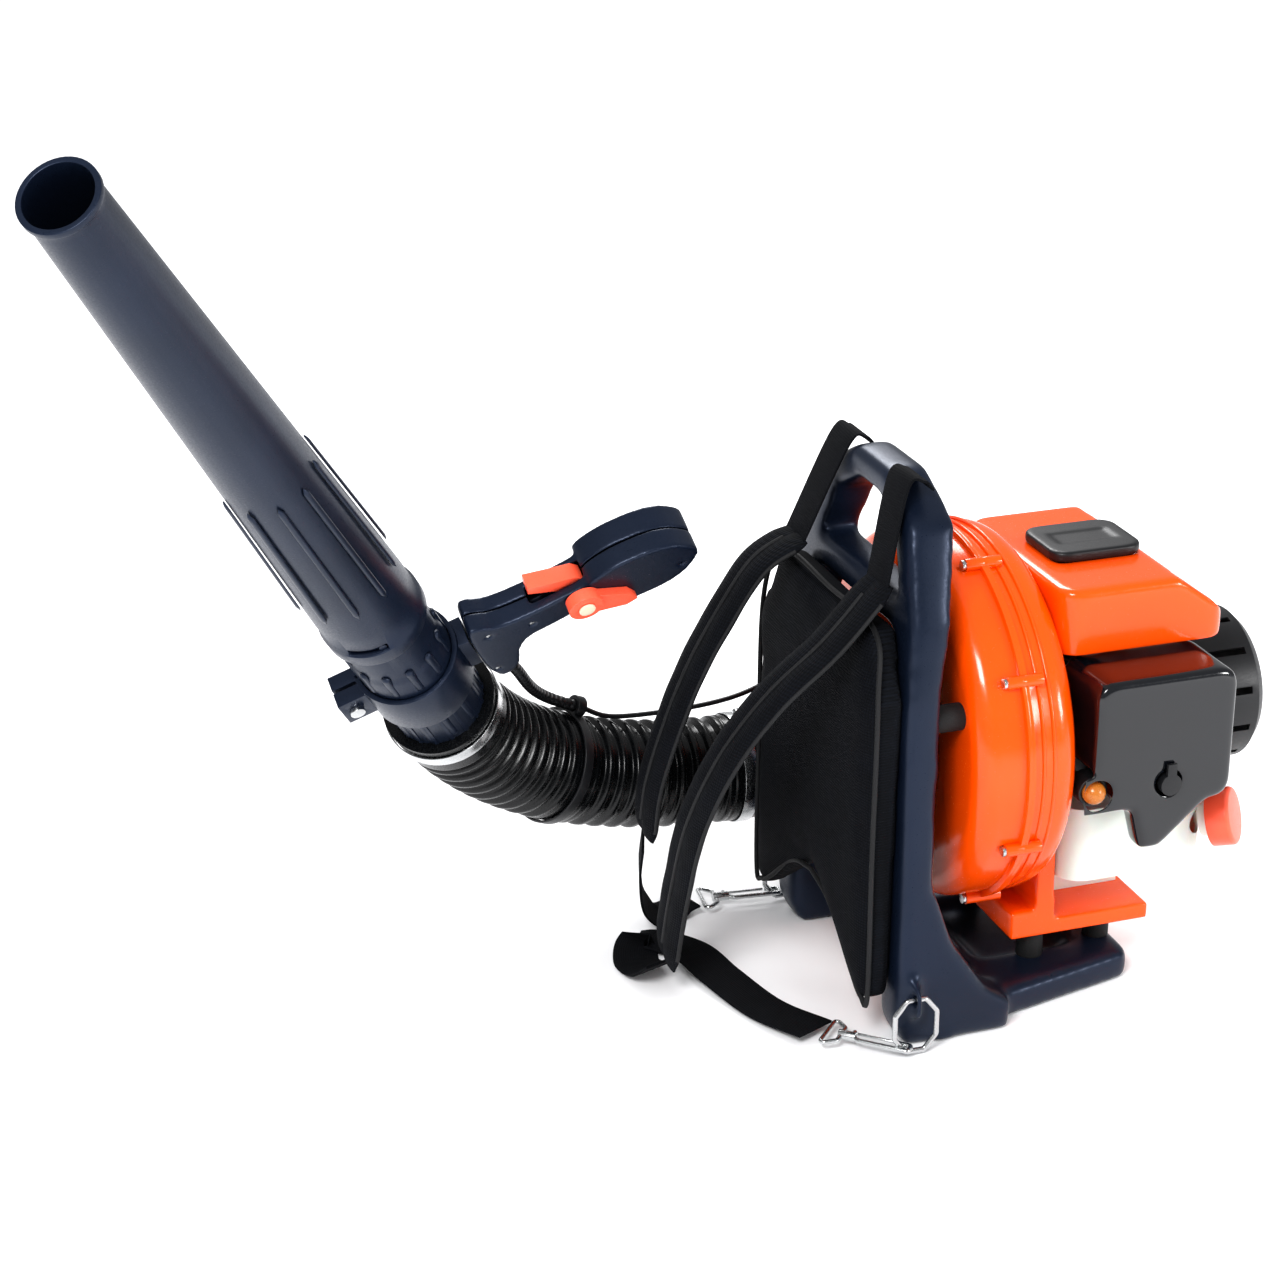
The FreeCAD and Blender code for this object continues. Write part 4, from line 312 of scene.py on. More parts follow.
for node, millimetres in ROUNDING_MM.items():
    made = moulded(node, millimetres)
    print(node, len(made.data.polygons), "faces")

# %% [markdown]
# The frame is blow-moulded: a hot tube of plastic is blown against a mould, so it has no sharp
# edge anywhere and its corners are broad. Remeshing the whole piece to small even faces and
# relaxing them gives those corners all over, which a bevel can't do on so many meeting edges.

# %% The frame
rack = smooth(remoulded("backpack_frame", 2.9, 45), 80)
dressed(rack, "slate_plastic", "root", "backpack_frame")
print("frame", len(rack.data.polygons), "faces")

# %% [markdown]
# The handle's halves and the engine's covers are thin injection mouldings with broad corners. They
# are remeshed and relaxed like the frame, on a finer grid because their walls are only a few
# millimetres thick. Relaxing moves each skin along itself, so the corners round on both sides of
# the wall while the wall keeps its thickness.

# %% Thin mouldings with broad corners
SOFT_SHELLS = {
    # node: (grid in mm, rounds of relaxing)
    "left_grip_half": (0.95, 34), "right_grip_half": (0.95, 34), "air_cleaner_cover": (1.15, 150),
    "engine_top_cover": (1.3, 110), "plug_cover": (1.1, 30), "engine_bracket": (1.9, 12),
}
for node, (grid, rounds) in SOFT_SHELLS.items():
    shell = smooth(remoulded(node, grid, rounds), 60)
    grip = node.endswith("grip_half")
    dressed(shell, "slate_plastic" if grip else SLOTS[node], NODES[node]["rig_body"], node)
    print(node, len(shell.data.polygons), "faces")

# %% [markdown]
# Straps, webbing, tubes and cables are all one section carried along a path. The path is a list of
# points rounded through by a Catmull-Rom curve, and the section keeps its width square to the
# path. The mesh also gets a UV map in metres, so that a weave can follow it.

# %% Carrying a section along a path
def through(points, count):
    """A smooth run through the points, evenly spaced."""
    pts = [np.array(p, float) for p in points]
    pts = [2 * pts[0] - pts[1], *pts, 2 * pts[-1] - pts[-2]]
    run = []
    for at in range(1, len(pts) - 2):
        a, b, c, d = pts[at - 1:at + 3]
        for t in np.linspace(0, 1, 24, endpoint=False):
            run.append(0.5 * (2 * b + (c - a) * t + (2 * a - 5 * b + 4 * c - d) * t**2
                              + (3 * b - a - 3 * c + d) * t**3))
    run = np.array(run + [pts[-2]])
    return evenly(run, count)


def evenly(run, count):
    run = np.asarray(run, float)
    steps = np.concatenate([[0], np.cumsum(np.linalg.norm(np.diff(run, axis=0), axis=1))])
    want = np.linspace(0, steps[-1], count)
    return np.stack([np.interp(want, steps, run[:, axis]) for axis in range(3)], 1)


def carried(name, run, side, section, turning=False):
    """section(share along, distance along) gives a ring of (across, out) pairs in metres.

    The ring's width keeps to the given side, or turns with the path where turning is true.
    """
    tangents = np.gradient(run, axis=0)
    tangents /= np.linalg.norm(tangents, axis=1)[:, None]
    lengths = np.concatenate([[0], np.cumsum(np.linalg.norm(np.diff(run, axis=0), axis=1))])
    points, rings = [], []
    lean = np.array(side, float)
    for at, (place, along) in enumerate(zip(run, tangents)):
        across = lean - along * lean.dot(along)
        across /= np.linalg.norm(across)
        if turning:
            lean = across
        out = np.cross(along, across)
        ring = section(lengths[at] / lengths[-1], lengths[at])
        points.append([place + across * u + out * v for u, v in ring])
        rings.append(len(ring))
    size = rings[0]
    flat = [p for ring in points for p in ring]
    faces = [(row * size + k, row * size + (k + 1) % size,
              (row + 1) * size + (k + 1) % size, (row + 1) * size + k)
             for row in range(len(run) - 1) for k in range(size)]
    last = (len(run) - 1) * size
    faces += [tuple(range(size))[::-1], tuple(last + k for k in range(size))]
    made = new_object(name, flat, faces)
    layout = made.data.uv_layers.new(name="along")
    for loop in made.data.loops:
        row, k = divmod(loop.vertex_index, size)
        ring = section(lengths[row] / lengths[-1], lengths[row])
        layout.data[loop.index].uv = (ring[k][0], lengths[row])
    work = bmesh.new()
    work.from_mesh(made.data)
    bmesh.ops.recalc_face_normals(work, faces=work.faces)
    work.to_mesh(made.data)
    work.free()
    return made


def rounded_bar(width, thick):
    """A flat bar's section with rounded edges."""
    corner = 6
    half, radius = width / 2, thick / 2
    ring = []
    for centre, start in ((half - radius, -90), (-half + radius, 90)):
        for step in range(corner + 1):
            angle = math.radians(start + 180 * step / corner)
            ring.append((centre + radius * math.cos(angle), radius * math.sin(angle)))
    return ring


# %% [markdown]
# A shoulder strap is foam between two layers of cloth, sewn round the edge with a corded piping
# and stitched down the middle, where a second cord lies. It's modelled directly as one carried
# section, because a flat strap would be lost in a cloth remesh: a low crown on each side of the
# middle cord, and a cord bead along each edge.

# %% Shoulder straps
MM = 0.001
SHOULDER = {
    "left": [(-108, -66, 377), (-152, -72, 334), (-196, -66, 292), (-228, -52, 240),
             (-246, -30, 176), (-250, -4, 104), (-250, 20, 34)],
    "right": [(-124, 62, 372), (-160, 63, 352), (-190, 66, 306), (-212, 70, 262),
              (-229, 76, 212), (-240, 86, 160), (-242, 96, 112)],
}
STRAP_WIDTH, STRAP_THICK = 50 * MM, 12 * MM
EDGE_CORD, MIDDLE_CORD = 2.4 / 1.3 * MM, 1.9 * MM  # radii
EDGE_AT, MIDDLE_AT = 23.2 * MM, 4.6 * MM  # from the strap's middle line, across and out


def strap_section(share, distance):
    end = min(share, 1 - share) / 0.045
    pinch = math.sqrt(min(1.0, max(end, 0.04)))
    half, thick = STRAP_WIDTH / 2 * (0.80 + 0.20 * pinch), STRAP_THICK / 2 * (0.45 + 0.55 * pinch)
    wave = 1 + 0.05 * math.sin(distance * 150) + 0.03 * math.sin(distance * 71 + 1)
    ring = []
    for face in (1, -1):
        for step in range(23):
            u = (1 - 2 * step / 22) * face
            crown = (1 - abs(u) ** 6) ** 0.5 * (0.74 + 0.26 * math.sin(math.pi * min(1, abs(u) * 1.25)))
            ring.append((half * u * 0.97, face * max(thick * crown * wave, 0.0006)))
    return ring


def cord(name, run, side, radius, turning=False):
    """A round cord along the run."""
    ring = [(radius * math.cos(math.radians(a)), radius * math.sin(math.radians(a)))
            for a in range(0, 360, 36)]
    return carried(name, run, side, lambda share, distance: ring, turning)


def beside(run, side, across_by, out_by):
    tangents = np.gradient(run, axis=0)
    tangents /= np.linalg.norm(tangents, axis=1)[:, None]
    moved = []
    for place, along in zip(run, tangents):
        across = np.array(side, float) - along * np.dot(side, along)
        across /= np.linalg.norm(across)
        moved.append(place + across * across_by + np.cross(along, across) * out_by)
    return np.array(moved)


for side, route in SHOULDER.items():
    run = through(np.array(route) * MM, 150)
    strap = smooth(carried(f"{side} shoulder strap", run, (0, 1, 0), strap_section), 60)
    dressed(strap, "pad_fabric", "root", f"{side}_shoulder_strap")
    cords = []
    for across_by, out_by, radius in ((EDGE_AT, 0, EDGE_CORD), (-EDGE_AT, 0, EDGE_CORD),
                                      (0, MIDDLE_AT, MIDDLE_CORD), (0, -MIDDLE_AT, MIDDLE_CORD)):
        path = beside(run[6:-6], (0, 1, 0), across_by, out_by)
        cords.append(cord(f"{side} strap cord", path, (0, 1, 0), radius))
    for line in cords:
        dressed(smooth(line, 80), "piping", "root")
print("shoulder straps", len(SHOULDER))

# %% [markdown]
# Webbing is a flat woven strip a couple of millimetres thick, 38 mm wide. It twists and lies where
# it's dropped. The lower strips run from the ends of the shoulder straps over the floor to the
# snap hooks; the upper ones wrap the crossbar.

# %% Webbing
WEB_WIDTH, WEB_THICK = 38 * MM, 2.2 * MM
LOWER = {
    "left": ([(-250, 24, 26), (-256, 46, 8), (-258, 74, 2.5), (-240, 106, 2.5),
              (-212, 70, 5.5), (-202, 20, 5.5), (-186, -40, 4), (-163, -92, 9)], (0.85, 0.3, 0)),
    "right": ([(-243, 98, 104), (-241, 112, 66), (-233, 126, 30), (-216, 138, 8),
               (-198, 146, 5), (-182, 149, 9)], (0.3, 0.9, 0)),
}


def web_section(share, distance):
    return rounded_bar(WEB_WIDTH, WEB_THICK)


for side, (route, lean) in LOWER.items():
    run = through(np.array(route) * MM, 130)
    web = smooth(carried(f"{side} lower webbing", run, lean, web_section), 60)
    web.data.materials.append(FINISHES["webbing"])
    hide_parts("lower_webbing")
    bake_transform(web)

# %% [markdown]
# The rear half of the blower housing has low beads round it, moulded in to stiffen the wall. Each
# is a rounded line that follows the scroll's outline a little above the surface. The outline is
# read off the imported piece: the farthest point from the shaft in each direction.

# %% Beads round the housing
SHAFT = Vector(JOINTS["fan_spin"]["pos_m"])
scroll = np.array([v.co for v in NODES["volute_rear"].data.vertices])


def scroll_outline(x_low, x_high, first, last, count):
    """Points round the scroll, from one angle to another in degrees, at the middle of the x range."""
    near = scroll[(scroll[:, 0] > x_low) & (scroll[:, 0] < x_high)]
    angles = np.degrees(np.arctan2(near[:, 2] - SHAFT.z, near[:, 1] - SHAFT.y)) % 360
    reach = np.hypot(near[:, 1] - SHAFT.y, near[:, 2] - SHAFT.z)
    run = []
    for angle in np.linspace(first, last, count):
        window = np.abs((angles - angle + 180) % 360 - 180) < 4
        if window.any():
            run.append((angle, reach[window].max()))
    return np.array(run)


outline = scroll_outline(0.010, 0.018, 20, 262, 90)
steady = np.convolve(np.pad(outline[:, 1], 4, "edge"), np.ones(9) / 9, "valid")
SUNK = 0.2 * MM  # how far a bead's middle line lies under the surface
for x in (0.002, 0.011):
    ring = [(x, SHAFT.y + (reach - SUNK) * math.cos(math.radians(angle)),
             SHAFT.z + (reach - SUNK) * math.sin(math.radians(angle)))
            for angle, reach in zip(outline[:, 0], steady)]
    bead = cord(f"housing bead {x * 1000:.0f}", evenly(ring, 160), (1, 0, 0), 0.0015)
    dressed(smooth(bead, 80), "orange_shell", "root")

# %% [markdown]
# The hose is blown in a corrugator: about two dozen even rings between plain cuffs, glossy because
# the plastic leaves the mould hot. Geometry Nodes make it from its middle line: a circle is carried
# along, and each point is pushed in or out by a wave of its distance along. It's made in two
# lengths that meet under the cable clip.

# %% Corrugated hose tree
def hose_tree():
    tree = bpy.data.node_groups.new("corrugated hose", "GeometryNodeTree")
    for label, kind in (("Middle line", "Geometry"), ("Radius", "Float"), ("Depth", "Float"),
                        ("Rings", "Float"), ("Cuff start", "Float"), ("Cuff end", "Float"),
                        ("Finish", "Material")):
        tree.interface.new_socket(label, in_out="INPUT", socket_type=f"NodeSocket{kind}")
    tree.interface.new_socket("Hose", in_out="OUTPUT", socket_type="NodeSocketGeometry")
    given = add(tree, "NodeGroupInput").outputs
    line = add(tree, "GeometryNodeResampleCurve", {"Curve": given["Middle line"], "Count": 260})
    share = add(tree, "GeometryNodeSplineParameter").outputs["Factor"]
    marked = add(tree, "GeometryNodeStoreNamedAttribute",
                 {"Geometry": line.outputs["Curve"], "Name": "share"},
                 data_type="FLOAT", domain="POINT")
    tree.links.new(share, next(s for s in marked.inputs if s.name == "Value" and s.enabled))
    circle = add(tree, "GeometryNodeCurvePrimitiveCircle",
                 {"Radius": given["Radius"], "Resolution": 72})
    tube = add(tree, "GeometryNodeCurveToMesh",
               {"Curve": marked.outputs["Geometry"], "Profile Curve": circle.outputs["Curve"],
                "Fill Caps": True})
    read = add(tree, "GeometryNodeInputNamedAttribute", {"Name": "share"}, data_type="FLOAT")
    at = next(s for s in read.outputs if s.name == "Attribute" and s.enabled)
    turn = add(tree, "ShaderNodeMath", {0: at, 1: given["Rings"]}, operation="MULTIPLY")
    angle = add(tree, "ShaderNodeMath", {0: turn.outputs[0], 1: 2 * math.pi}, operation="MULTIPLY")
    wave = add(tree, "ShaderNodeMath", {0: angle.outputs[0]}, operation="COSINE")
    crest = add(tree, "ShaderNodeMapRange",
                {"Value": wave.outputs[0], "From Min": -0.55, "From Max": 0.95},
                interpolation_type="SMOOTHSTEP")
    past = add(tree, "ShaderNodeMapRange",
               {"Value": at, "From Min": given["Cuff start"], "To Min": 0.0, "To Max": 1.0})
    room = add(tree, "ShaderNodeMath", {0: given["Cuff start"], 1: 0.03}, operation="ADD")
    tree.links.new(room.outputs[0], past.inputs["From Max"])
    left = add(tree, "ShaderNodeMapRange", {"Value": at, "To Min": 1.0, "To Max": 0.0})
    before = add(tree, "ShaderNodeMath", {0: given["Cuff end"], 1: 0.03}, operation="SUBTRACT")
    tree.links.new(before.outputs[0], left.inputs["From Min"])
    tree.links.new(given["Cuff end"], left.inputs["From Max"])
    both = add(tree, "ShaderNodeMath", {0: past.outputs["Result"], 1: left.outputs["Result"]},
               operation="MULTIPLY")
    dip = add(tree, "ShaderNodeMath", {0: 1.0, 1: crest.outputs["Result"]}, operation="SUBTRACT")
    deep = add(tree, "ShaderNodeMath", {0: dip.outputs[0], 1: both.outputs[0]}, operation="MULTIPLY")
    inward = add(tree, "ShaderNodeMath", {0: deep.outputs[0], 1: given["Depth"]}, operation="MULTIPLY")
    minus = add(tree, "ShaderNodeMath", {0: inward.outputs[0], 1: -1.0}, operation="MULTIPLY")
    push = add(tree, "ShaderNodeVectorMath",
               {0: add(tree, "GeometryNodeInputNormal").outputs["Normal"], "Scale": minus.outputs[0]},
               operation="SCALE")
    shaped = add(tree, "GeometryNodeSetPosition",
                 {"Geometry": tube.outputs["Mesh"], "Offset": push.outputs["Vector"]})
    real = add(tree, "GeometryNodeRealizeInstances", {"Geometry": shaped.outputs["Geometry"]})
    painted = add(tree, "GeometryNodeSetMaterial",
                  {"Geometry": real.outputs["Geometry"], "Material": given["Finish"]})
    out = add(tree, "NodeGroupOutput")
    tree.links.new(painted.outputs["Geometry"], out.inputs["Hose"])
    return tree


def set_growing(made, tree, values):
    """Puts the tree on the object, with a value for each named input."""
    modifier = made.modifiers.new("tree", "NODES")
    modifier.node_group = tree
    names = {item.name: item.identifier for item in tree.interface.items_tree if item.in_out == "INPUT"}
    for label, value in values.items():
        modifier[names[label]] = value


def grown(name, tree, run, values):
    """The tree's result on a line through the points, as a plain mesh."""
    curve = bpy.data.curves.new(name, "CURVE")
    curve.dimensions = "3D"
    spline = curve.splines.new("POLY")
    spline.points.add(len(run) - 1)
    for point, place in zip(spline.points, run):
        point.co = (*place, 1)
    start = bpy.data.objects.new(name, curve)
    bpy.context.scene.collection.objects.link(start)
    set_growing(start, tree, values)
    seen = start.evaluated_get(bpy.context.evaluated_depsgraph_get())
    mesh = bpy.data.meshes.new_from_object(seen)
    bpy.data.objects.remove(start)
    made = bpy.data.objects.new(name.replace(" ", "_"), mesh)
    bpy.context.scene.collection.objects.link(made)
    return outward(made)


# %% The hose's middle line
ALONG = Vector(JOINTS["nozzle_twist"]["axis"]).normalized()
SQUARE = Vector(JOINTS["trigger_pull"]["axis"]).normalized()
TOWARDS = SQUARE.cross(ALONG).normalized()
TUBE_LENGTH = 0.180  # from the hose's cuff to the joint the nozzle turns in
CUFF = Vector(JOINTS["nozzle_twist"]["pos_m"]) - ALONG * TUBE_LENGTH
HOSE_MIDDLE = Vector(JOINTS["hose_lift"]["pos_m"])
MOUTH = Vector((-0.115, 0.192, 0.110))  # of the blower's elbow
REAR_REACH, FRONT_REACH = 0.148, 0.134  # how far the bend's handles stretch from its ends
CONTROL = [MOUTH, MOUTH - Vector((REAR_REACH, 0, 0)), CUFF - ALONG * FRONT_REACH, CUFF]
hose_line = np.array([geometry.interpolate_bezier(*CONTROL, 401)]).reshape(-1, 3)
half = np.argmin(np.linalg.norm(hose_line - np.array(HOSE_MIDDLE), axis=1))
print("hose length", round(float(np.linalg.norm(np.diff(hose_line, axis=0), axis=1).sum()), 3), "m")

# %% Growing the hose
corrugated = hose_tree()
RIPPLES = {"Radius": 0.0468, "Depth": 0.0048, "Rings": 12.0, "Finish": FINISHES["hose_black"]}
lengths = {
    "rear": (hose_line[:half + 1], "root", "hose_middle", {"Cuff start": 0.14, "Cuff end": 0.94}),
    "front": (hose_line[half:], "hose_middle", "wand", {"Cuff start": 0.06, "Cuff end": 0.80}),
}
for part, (run, first, second, cuffs) in lengths.items():
    hose = grown(f"{part} hose length", corrugated, evenly(run, 200), RIPPLES | cuffs)
    smooth(hose, 60)
    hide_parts("blower_hose")
    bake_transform(hose)
    print(part, len(hose.data.polygons), "faces")

# %% [markdown]
# The tubes are stiffened by long raised ribs with rounded ends, evenly spaced round them. One rib
# is modelled as a low dome, and a tree sets copies of it round a circle, each turned to face out
# and tipped to follow the taper. Changing the count or the tilt then changes the whole row.

# %% One rib, and a tree that sets a row of them
def dome(name, width, length, height, rows):
    """A low round-ended bar along Z, standing out along +X, closed underneath."""
    columns = 9
    points = []
    for row in range(rows + 1):
        v = 2 * row / rows - 1
        z = v * length / 2
        near_end = max(0.0, abs(z) - (length - width) / 2) / (width / 2)
        spread = math.sqrt(max(0.0, 1 - min(1, near_end)**2))
        for column in range(columns):
            u = 2 * column / (columns - 1) - 1
            rise = height * (1 - abs(u)**2.6) * min(1, spread * 1.6)
            points.append((rise - 0.0006 * (column in (0, columns - 1)), u * spread * width / 2, z))
    upper = len(points)
    points += [(-0.0012, y, z) for _, y, z in points]
    faces = []
    for row in range(rows):
        for column in range(columns - 1):
            a = row * columns + column
            b = a + columns
            faces += [(a, a + 1, b + 1, b), (upper + a, upper + b, upper + b + 1, upper + a + 1)]
        for a, flip in ((row * columns, False), (row * columns + columns - 1, True)):
            quad = (a, a + columns, upper + a + columns, upper + a)
            faces.append(quad[::-1] if flip else quad)
    made = outward(new_object(name, points, faces))
    made.hide_render = made.hide_viewport = True
    return made


def row_tree():
    tree = bpy.data.node_groups.new("row of ribs", "GeometryNodeTree")
    for label, kind in (("Rib", "Object"), ("Radius", "Float"), ("Height", "Float"), ("Count", "Int"),
                        ("Tilt", "Float"), ("First", "Float"), ("Finish", "Material")):
        tree.interface.new_socket(label, in_out="INPUT", socket_type=f"NodeSocket{kind}")
    tree.interface.new_socket("Row", in_out="OUTPUT", socket_type="NodeSocketGeometry")
    given = add(tree, "NodeGroupInput").outputs
    points = add(tree, "GeometryNodePoints", {"Count": given["Count"]})
    number = add(tree, "GeometryNodeInputIndex").outputs["Index"]
    share = add(tree, "ShaderNodeMath", {0: number, 1: given["Count"]}, operation="DIVIDE")
    turn = add(tree, "ShaderNodeMath", {0: share.outputs[0], 1: 2 * math.pi}, operation="MULTIPLY")
    angle = add(tree, "ShaderNodeMath", {0: turn.outputs[0], 1: given["First"]}, operation="ADD")
    x = add(tree, "ShaderNodeMath", {0: angle.outputs[0]}, operation="COSINE")
    y = add(tree, "ShaderNodeMath", {0: angle.outputs[0]}, operation="SINE")
    out_x = add(tree, "ShaderNodeMath", {0: x.outputs[0], 1: given["Radius"]}, operation="MULTIPLY")
    out_y = add(tree, "ShaderNodeMath", {0: y.outputs[0], 1: given["Radius"]}, operation="MULTIPLY")
    place = add(tree, "ShaderNodeCombineXYZ",
                {"X": out_x.outputs[0], "Y": out_y.outputs[0], "Z": given["Height"]})
    tree.links.new(place.outputs[0], points.inputs["Position"])
    facing = add(tree, "ShaderNodeCombineXYZ", {"Y": given["Tilt"], "Z": angle.outputs[0]})
    rib = add(tree, "GeometryNodeObjectInfo", {"Object": given["Rib"]})
    set_out = add(tree, "GeometryNodeInstanceOnPoints",
                  {"Points": points.outputs[0], "Instance": rib.outputs["Geometry"],
                   "Rotation": facing.outputs[0]})
    real = add(tree, "GeometryNodeRealizeInstances", {"Geometry": set_out.outputs["Instances"]})
    painted = add(tree, "GeometryNodeSetMaterial",
                  {"Geometry": real.outputs["Geometry"], "Material": given["Finish"]})
    out = add(tree, "NodeGroupOutput")
    tree.links.new(painted.outputs["Geometry"], out.inputs["Row"])
    return tree


# %% Ribs on the nozzle and the lower tube
WAND_FRAME = Matrix((TOWARDS, SQUARE, ALONG)).transposed().to_4x4()
WAND_FRAME.translation = CUFF
row_of_ribs = row_tree()


def rib_row(name, rib, body, radius, height, count, first, tilt=0.0):
    made = new_object(name, [(0, 0, 0)], [])
    set_growing(made, row_of_ribs, {
        "Rib": rib, "Radius": radius, "Height": height, "Count": count, "First": first,
        "Tilt": tilt, "Finish": FINISHES["slate_plastic"]})
    settled(made)
    made.data.transform(WAND_FRAME)
    smooth(made, 50)
    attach(made, body)
    return made


long_rib = dome("long rib", 0.0050, 0.165, 0.0011, 24)
short_rib = dome("short rib", 0.0070, 0.034, 0.0016, 14)
TAPER = math.atan((0.0414 - 0.025) / 0.53)
rib_row("nozzle ribs", long_rib, "nozzle_body", 0.0386, 0.312, 10, 0.3, -TAPER)
rib_row("lower tube ribs", short_rib, "wand", 0.0376, 0.021, 12, 0.1)
rib_row("upper tube ribs", short_rib, "wand", 0.0376, 0.108, 12, 0.1)
for rib in (long_rib, short_rib):
    bpy.data.objects.remove(rib)

# %% [markdown]
# The throttle cable runs in a spiral-wrapped sleeve. The wrap is a narrow strip wound round it, so
# its outline is a row of small slanted steps. It's one section whose radius follows a wave that
# turns with the angle, which is what makes a spiral rather than rings.

# %% Cable sleeve
def spiral_section(radius, pitch, lift):
    def section(share, distance):
        ring = []
        for step in range(20):
            angle = 2 * math.pi * step / 20
            turn = (distance / pitch + step / 20) % 1.0
            swell = radius + lift * (min(1.0, 5 * min(turn, 1 - turn)) - 1)
            ring.append((swell * math.cos(angle), swell * math.sin(angle)))
        return ring
    return section


def bezier_run(points, count):
    return np.array(geometry.interpolate_bezier(*[Vector(p) for p in points], count))


def wand_point(towards, square, along):
    return CUFF + (TOWARDS * towards + SQUARE * square + ALONG * along) * MM


out_way = Vector((0.25, 0, 1))
hose_way = (Vector(hose_line[half + 1]) - Vector(hose_line[half - 1])).normalized()
out_way = (out_way - hose_way * out_way.dot(hose_way)).normalized()
EYE = HOSE_MIDDLE + out_way * 0.0556
start = wand_point(63, 0, 18)
down = (TOWARDS * 0.2 - ALONG).normalized()
near = bezier_run([start, start + down * 0.055, EYE + hose_way * 0.066, EYE], 120)
sleeve = carried("front cable sleeve", near, (0, 1, 0.2),
                 spiral_section(0.005, 0.007, 0.0012), turning=True)
smooth(sleeve, 50)
sleeve.data.materials.append(FINISHES["black_plastic"])
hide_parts("throttle_conduit")
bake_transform(sleeve)

AHEAD = 0.0394  # the cable's line between the housing and the engine's covers
far_points = [EYE, EYE - hose_way * 0.05, (-0.130, 0.196, 0.174), (-0.062, 0.206, 0.196),
              (0, 0.206, 0.242), (AHEAD, 0.198, 0.268), (AHEAD, 0.150, 0.290),
              (AHEAD, 0.05, 0.292), (AHEAD, -0.042, 0.288), (AHEAD, -0.05, 0.268),
              (0.046, -0.05, 0.252), (0.0605, -0.05, 0.252)]
far = through([tuple(p) for p in far_points], 260)
cable = smooth(cord("rear cable", far, (0.1, 1, 0.2), 0.0022, turning=True), 60)
cable.data.materials.append(FINISHES["black_plastic"])
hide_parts("throttle_conduit")
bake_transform(cable)

# %% [markdown]
# The starter rope is wound up inside its housing, so at rest only a few millimetres of it reach the
# handle, hidden in the stem.

# %% Starter rope
PULL = Vector(JOINTS["starter_pull"]["pos_m"])
rope_ends = PULL - Vector((0, 0.010, 0)), PULL
rope = smooth(cord("starter rope", evenly(rope_ends, 40), (0, 0, 1), 0.0016), 60)
rope.data.materials.append(FINISHES["piping"])
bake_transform(rope)

# %% [markdown]
# The back pad is foam in a sewn cover. Cloth simulation gives it the look a flat solid can't: the
# cover is pumped up a little, so that it crowns between its seams. The simulated copy is capped so
# that it stays in its place, and one subdivision smooths it. Piping and seams are laid on after.

# %% Back pad
def inflated(node, voxel_mm, pressure, cap_mm):
    made = remoulded(node, voxel_mm, 3)
    rest = np.array([v.co for v in made.data.vertices])
    cloth = made.modifiers.new("air", "CLOTH")
    cloth.settings.use_pressure = True
    cloth.settings.uniform_pressure_force = pressure
    cloth.settings.effector_weights.gravity = 0
    cloth.settings.quality = 5
    cloth.settings.mass = 0.3
    cloth.point_cache.frame_start = 1
    cloth.point_cache.frame_end = 20
    for number in range(1, 21):
        bpy.context.scene.frame_set(number)
    settled(made)
    bpy.context.scene.frame_set(1)
    moved = np.array([v.co for v in made.data.vertices]) - rest
    length = np.linalg.norm(moved, axis=1)[:, None]
    moved *= np.minimum(1, cap_mm / 1000 / np.maximum(length, 1e-9))
    made.data.vertices.foreach_set("co", (rest + moved).ravel())
    soften = made.modifiers.new("soften", "SUBSURF")
    soften.levels = soften.render_levels = 1
    return settled(made)


pad = smooth(inflated("back_pad", 5, 4.0, 5), 80)
dressed(pad, "pad_fabric", "root", "back_pad")

# %% Piping and seams on the pad
PAD_OUTLINE = [(0, 103), (40, 92), (88, 54), (108, 42), (121, 50), (121, 170), (119, 300),
               (93, 347), (0, 350)]
PAD_SEAM = [(-86, 338), (-62, 240), (-58, 150), (-72, 78)]


def pad_front(height_mm):
    """How far forward the pad's face is at a height, in mm."""
    return -133.5 + max(0.0, height_mm - 290) * 0.155


def on_pad(points, lift_mm):
    return [(pad_front(z) * MM - lift_mm * MM, y * MM, z * MM) for y, z in points]


around = PAD_OUTLINE + [(-y, z) for y, z in reversed(PAD_OUTLINE[1:-1])]
pad_lines = {"front piping": (through(on_pad(around + around[:1], -1.8), 400), 0.0021)}
for way in (1, -1):
    seam = through(on_pad([(way * y, z) for y, z in PAD_SEAM], 0.2), 120)
    pad_lines[f"seam {'right' if way < 0 else 'left'}"] = (seam, 0.0011)
for name, (run, radius) in pad_lines.items():
    dressed(smooth(cord(f"pad {name}", run, (1, 0, 0.01), radius), 80), "piping", "root")
print("back pad", len(pad.data.polygons), "faces")

# %% Upper webbing
bar_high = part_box("backpack_frame")[1]
for side, way in (("left", -1), ("right", 1)):
    first, second = [np.array(p) * MM for p in SHOULDER[side][:2]]
    ahead = (second - first) / np.linalg.norm(second - first)
    run = through([(-0.070, way * 0.056, bar_high.z - 0.006),
                   (-0.078, way * 0.056, bar_high.z + 0.0012),
                   (-0.092, way * 0.057, bar_high.z - 0.004), tuple(first + ahead * 0.004)], 60)
    band = smooth(carried(f"{side} upper webbing", run, (0, 1, 0), web_section), 60)
    dressed(band, "webbing", "root", "upper_webbing")

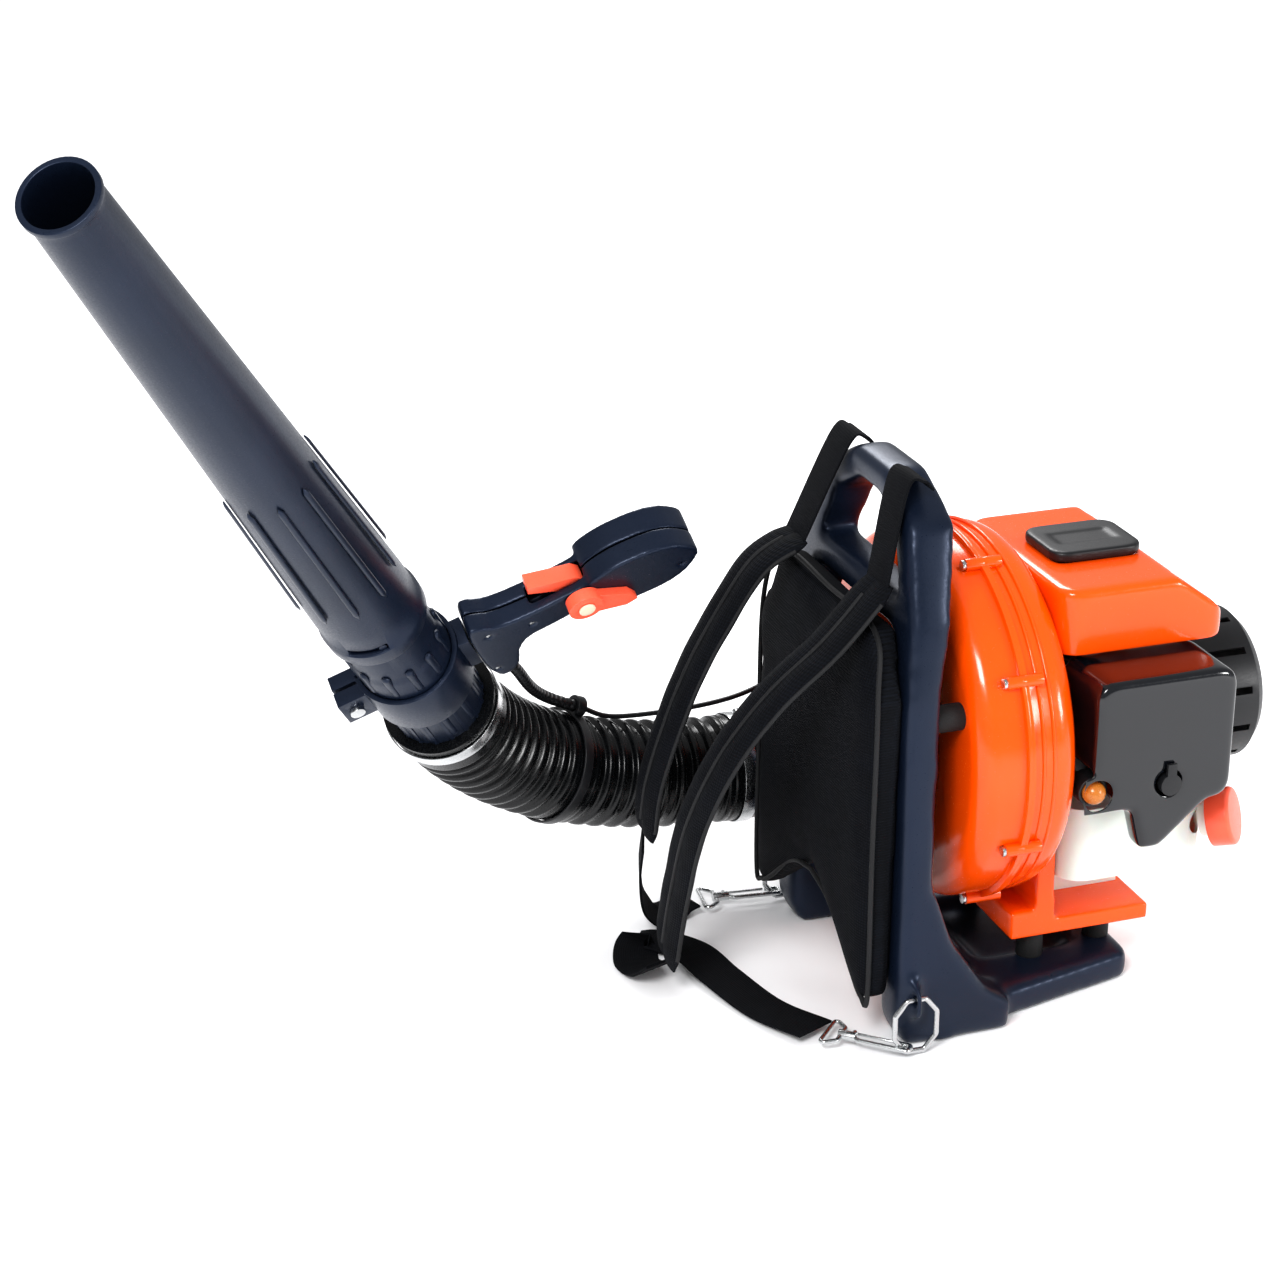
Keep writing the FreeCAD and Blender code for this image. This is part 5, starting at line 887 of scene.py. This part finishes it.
# %% [markdown]
# A product like this is best seen on a pale sweep under large soft lamps, so the floor and the
# world are nearly white and three area lamps do the work: a key from the upper left, a fill from
# the right and a rim from behind. Reflections see the sweep at under half its brightness, as they
# would with black cards beside the lens, so that dark plastic stays dark. The camera stands where a
# buyer would, a little above and in front, with a long lens so that the shape isn't distorted.

# %% Floor, lamps and camera
def lamp(name, place, target, size, power):
    light = bpy.data.lights.new(name, "AREA")
    light.size, light.energy = size, power
    made = bpy.data.objects.new(name, light)
    bpy.context.scene.collection.objects.link(made)
    made.location = place
    made.rotation_euler = (Vector(target) - Vector(place)).to_track_quat("-Z", "Y").to_euler()


floor = new_object("floor", [(-6, -6, 0), (6, -6, 0), (6, 6, 0), (-6, 6, 0)], [(0, 1, 2, 3)])
floor.data.materials.append(finish("pale studio floor", "#f6f6f7", "#fafafb", 0.6, 4.0, 0.0,
                                    **{"Specular IOR Level": 0.0}))
world = bpy.data.worlds.new("studio")
bpy.context.scene.world = world
world.use_nodes = True
world.node_tree.nodes["Background"].inputs["Color"].default_value = linear("#fcfcfd")
rays = add(world.node_tree, "ShaderNodeLightPath").outputs["Is Glossy Ray"]
strength = add(world.node_tree, "ShaderNodeMapRange",
               {"Value": rays, "To Min": 0.97, "To Max": 0.42})
background = world.node_tree.nodes["Background"]
world.node_tree.links.new(strength.outputs["Result"], background.inputs["Strength"])
bpy.context.scene.view_settings.view_transform = "Standard"
bpy.context.scene.view_settings.look = "Medium High Contrast"
AIM = (-0.2, -0.05, 0.25)
lamp("key", (-1.5, -1.7, 2.1), AIM, 0.8, 50)
lamp("fill", (1.7, -1.9, 0.9), AIM, 0.55, 20)
lamp("rim", (0.4, 2.0, 2.0), AIM, 1.0, 34)

RIGHT = Vector((0.9455, -0.3256, 0.0))
UP = Vector((0.1246, 0.3618, 0.9239))
lens = bpy.data.cameras.new("camera")
lens.lens, lens.sensor_width = 81.56, 36.0
camera = bpy.data.objects.new("camera", lens)
bpy.context.scene.collection.objects.link(camera)
turned = Matrix((RIGHT, UP, RIGHT.cross(UP))).transposed().to_4x4()
camera.matrix_world = Matrix.Translation((-0.9543, -1.9591, 1.1835)) @ turned
bpy.context.scene.camera = camera
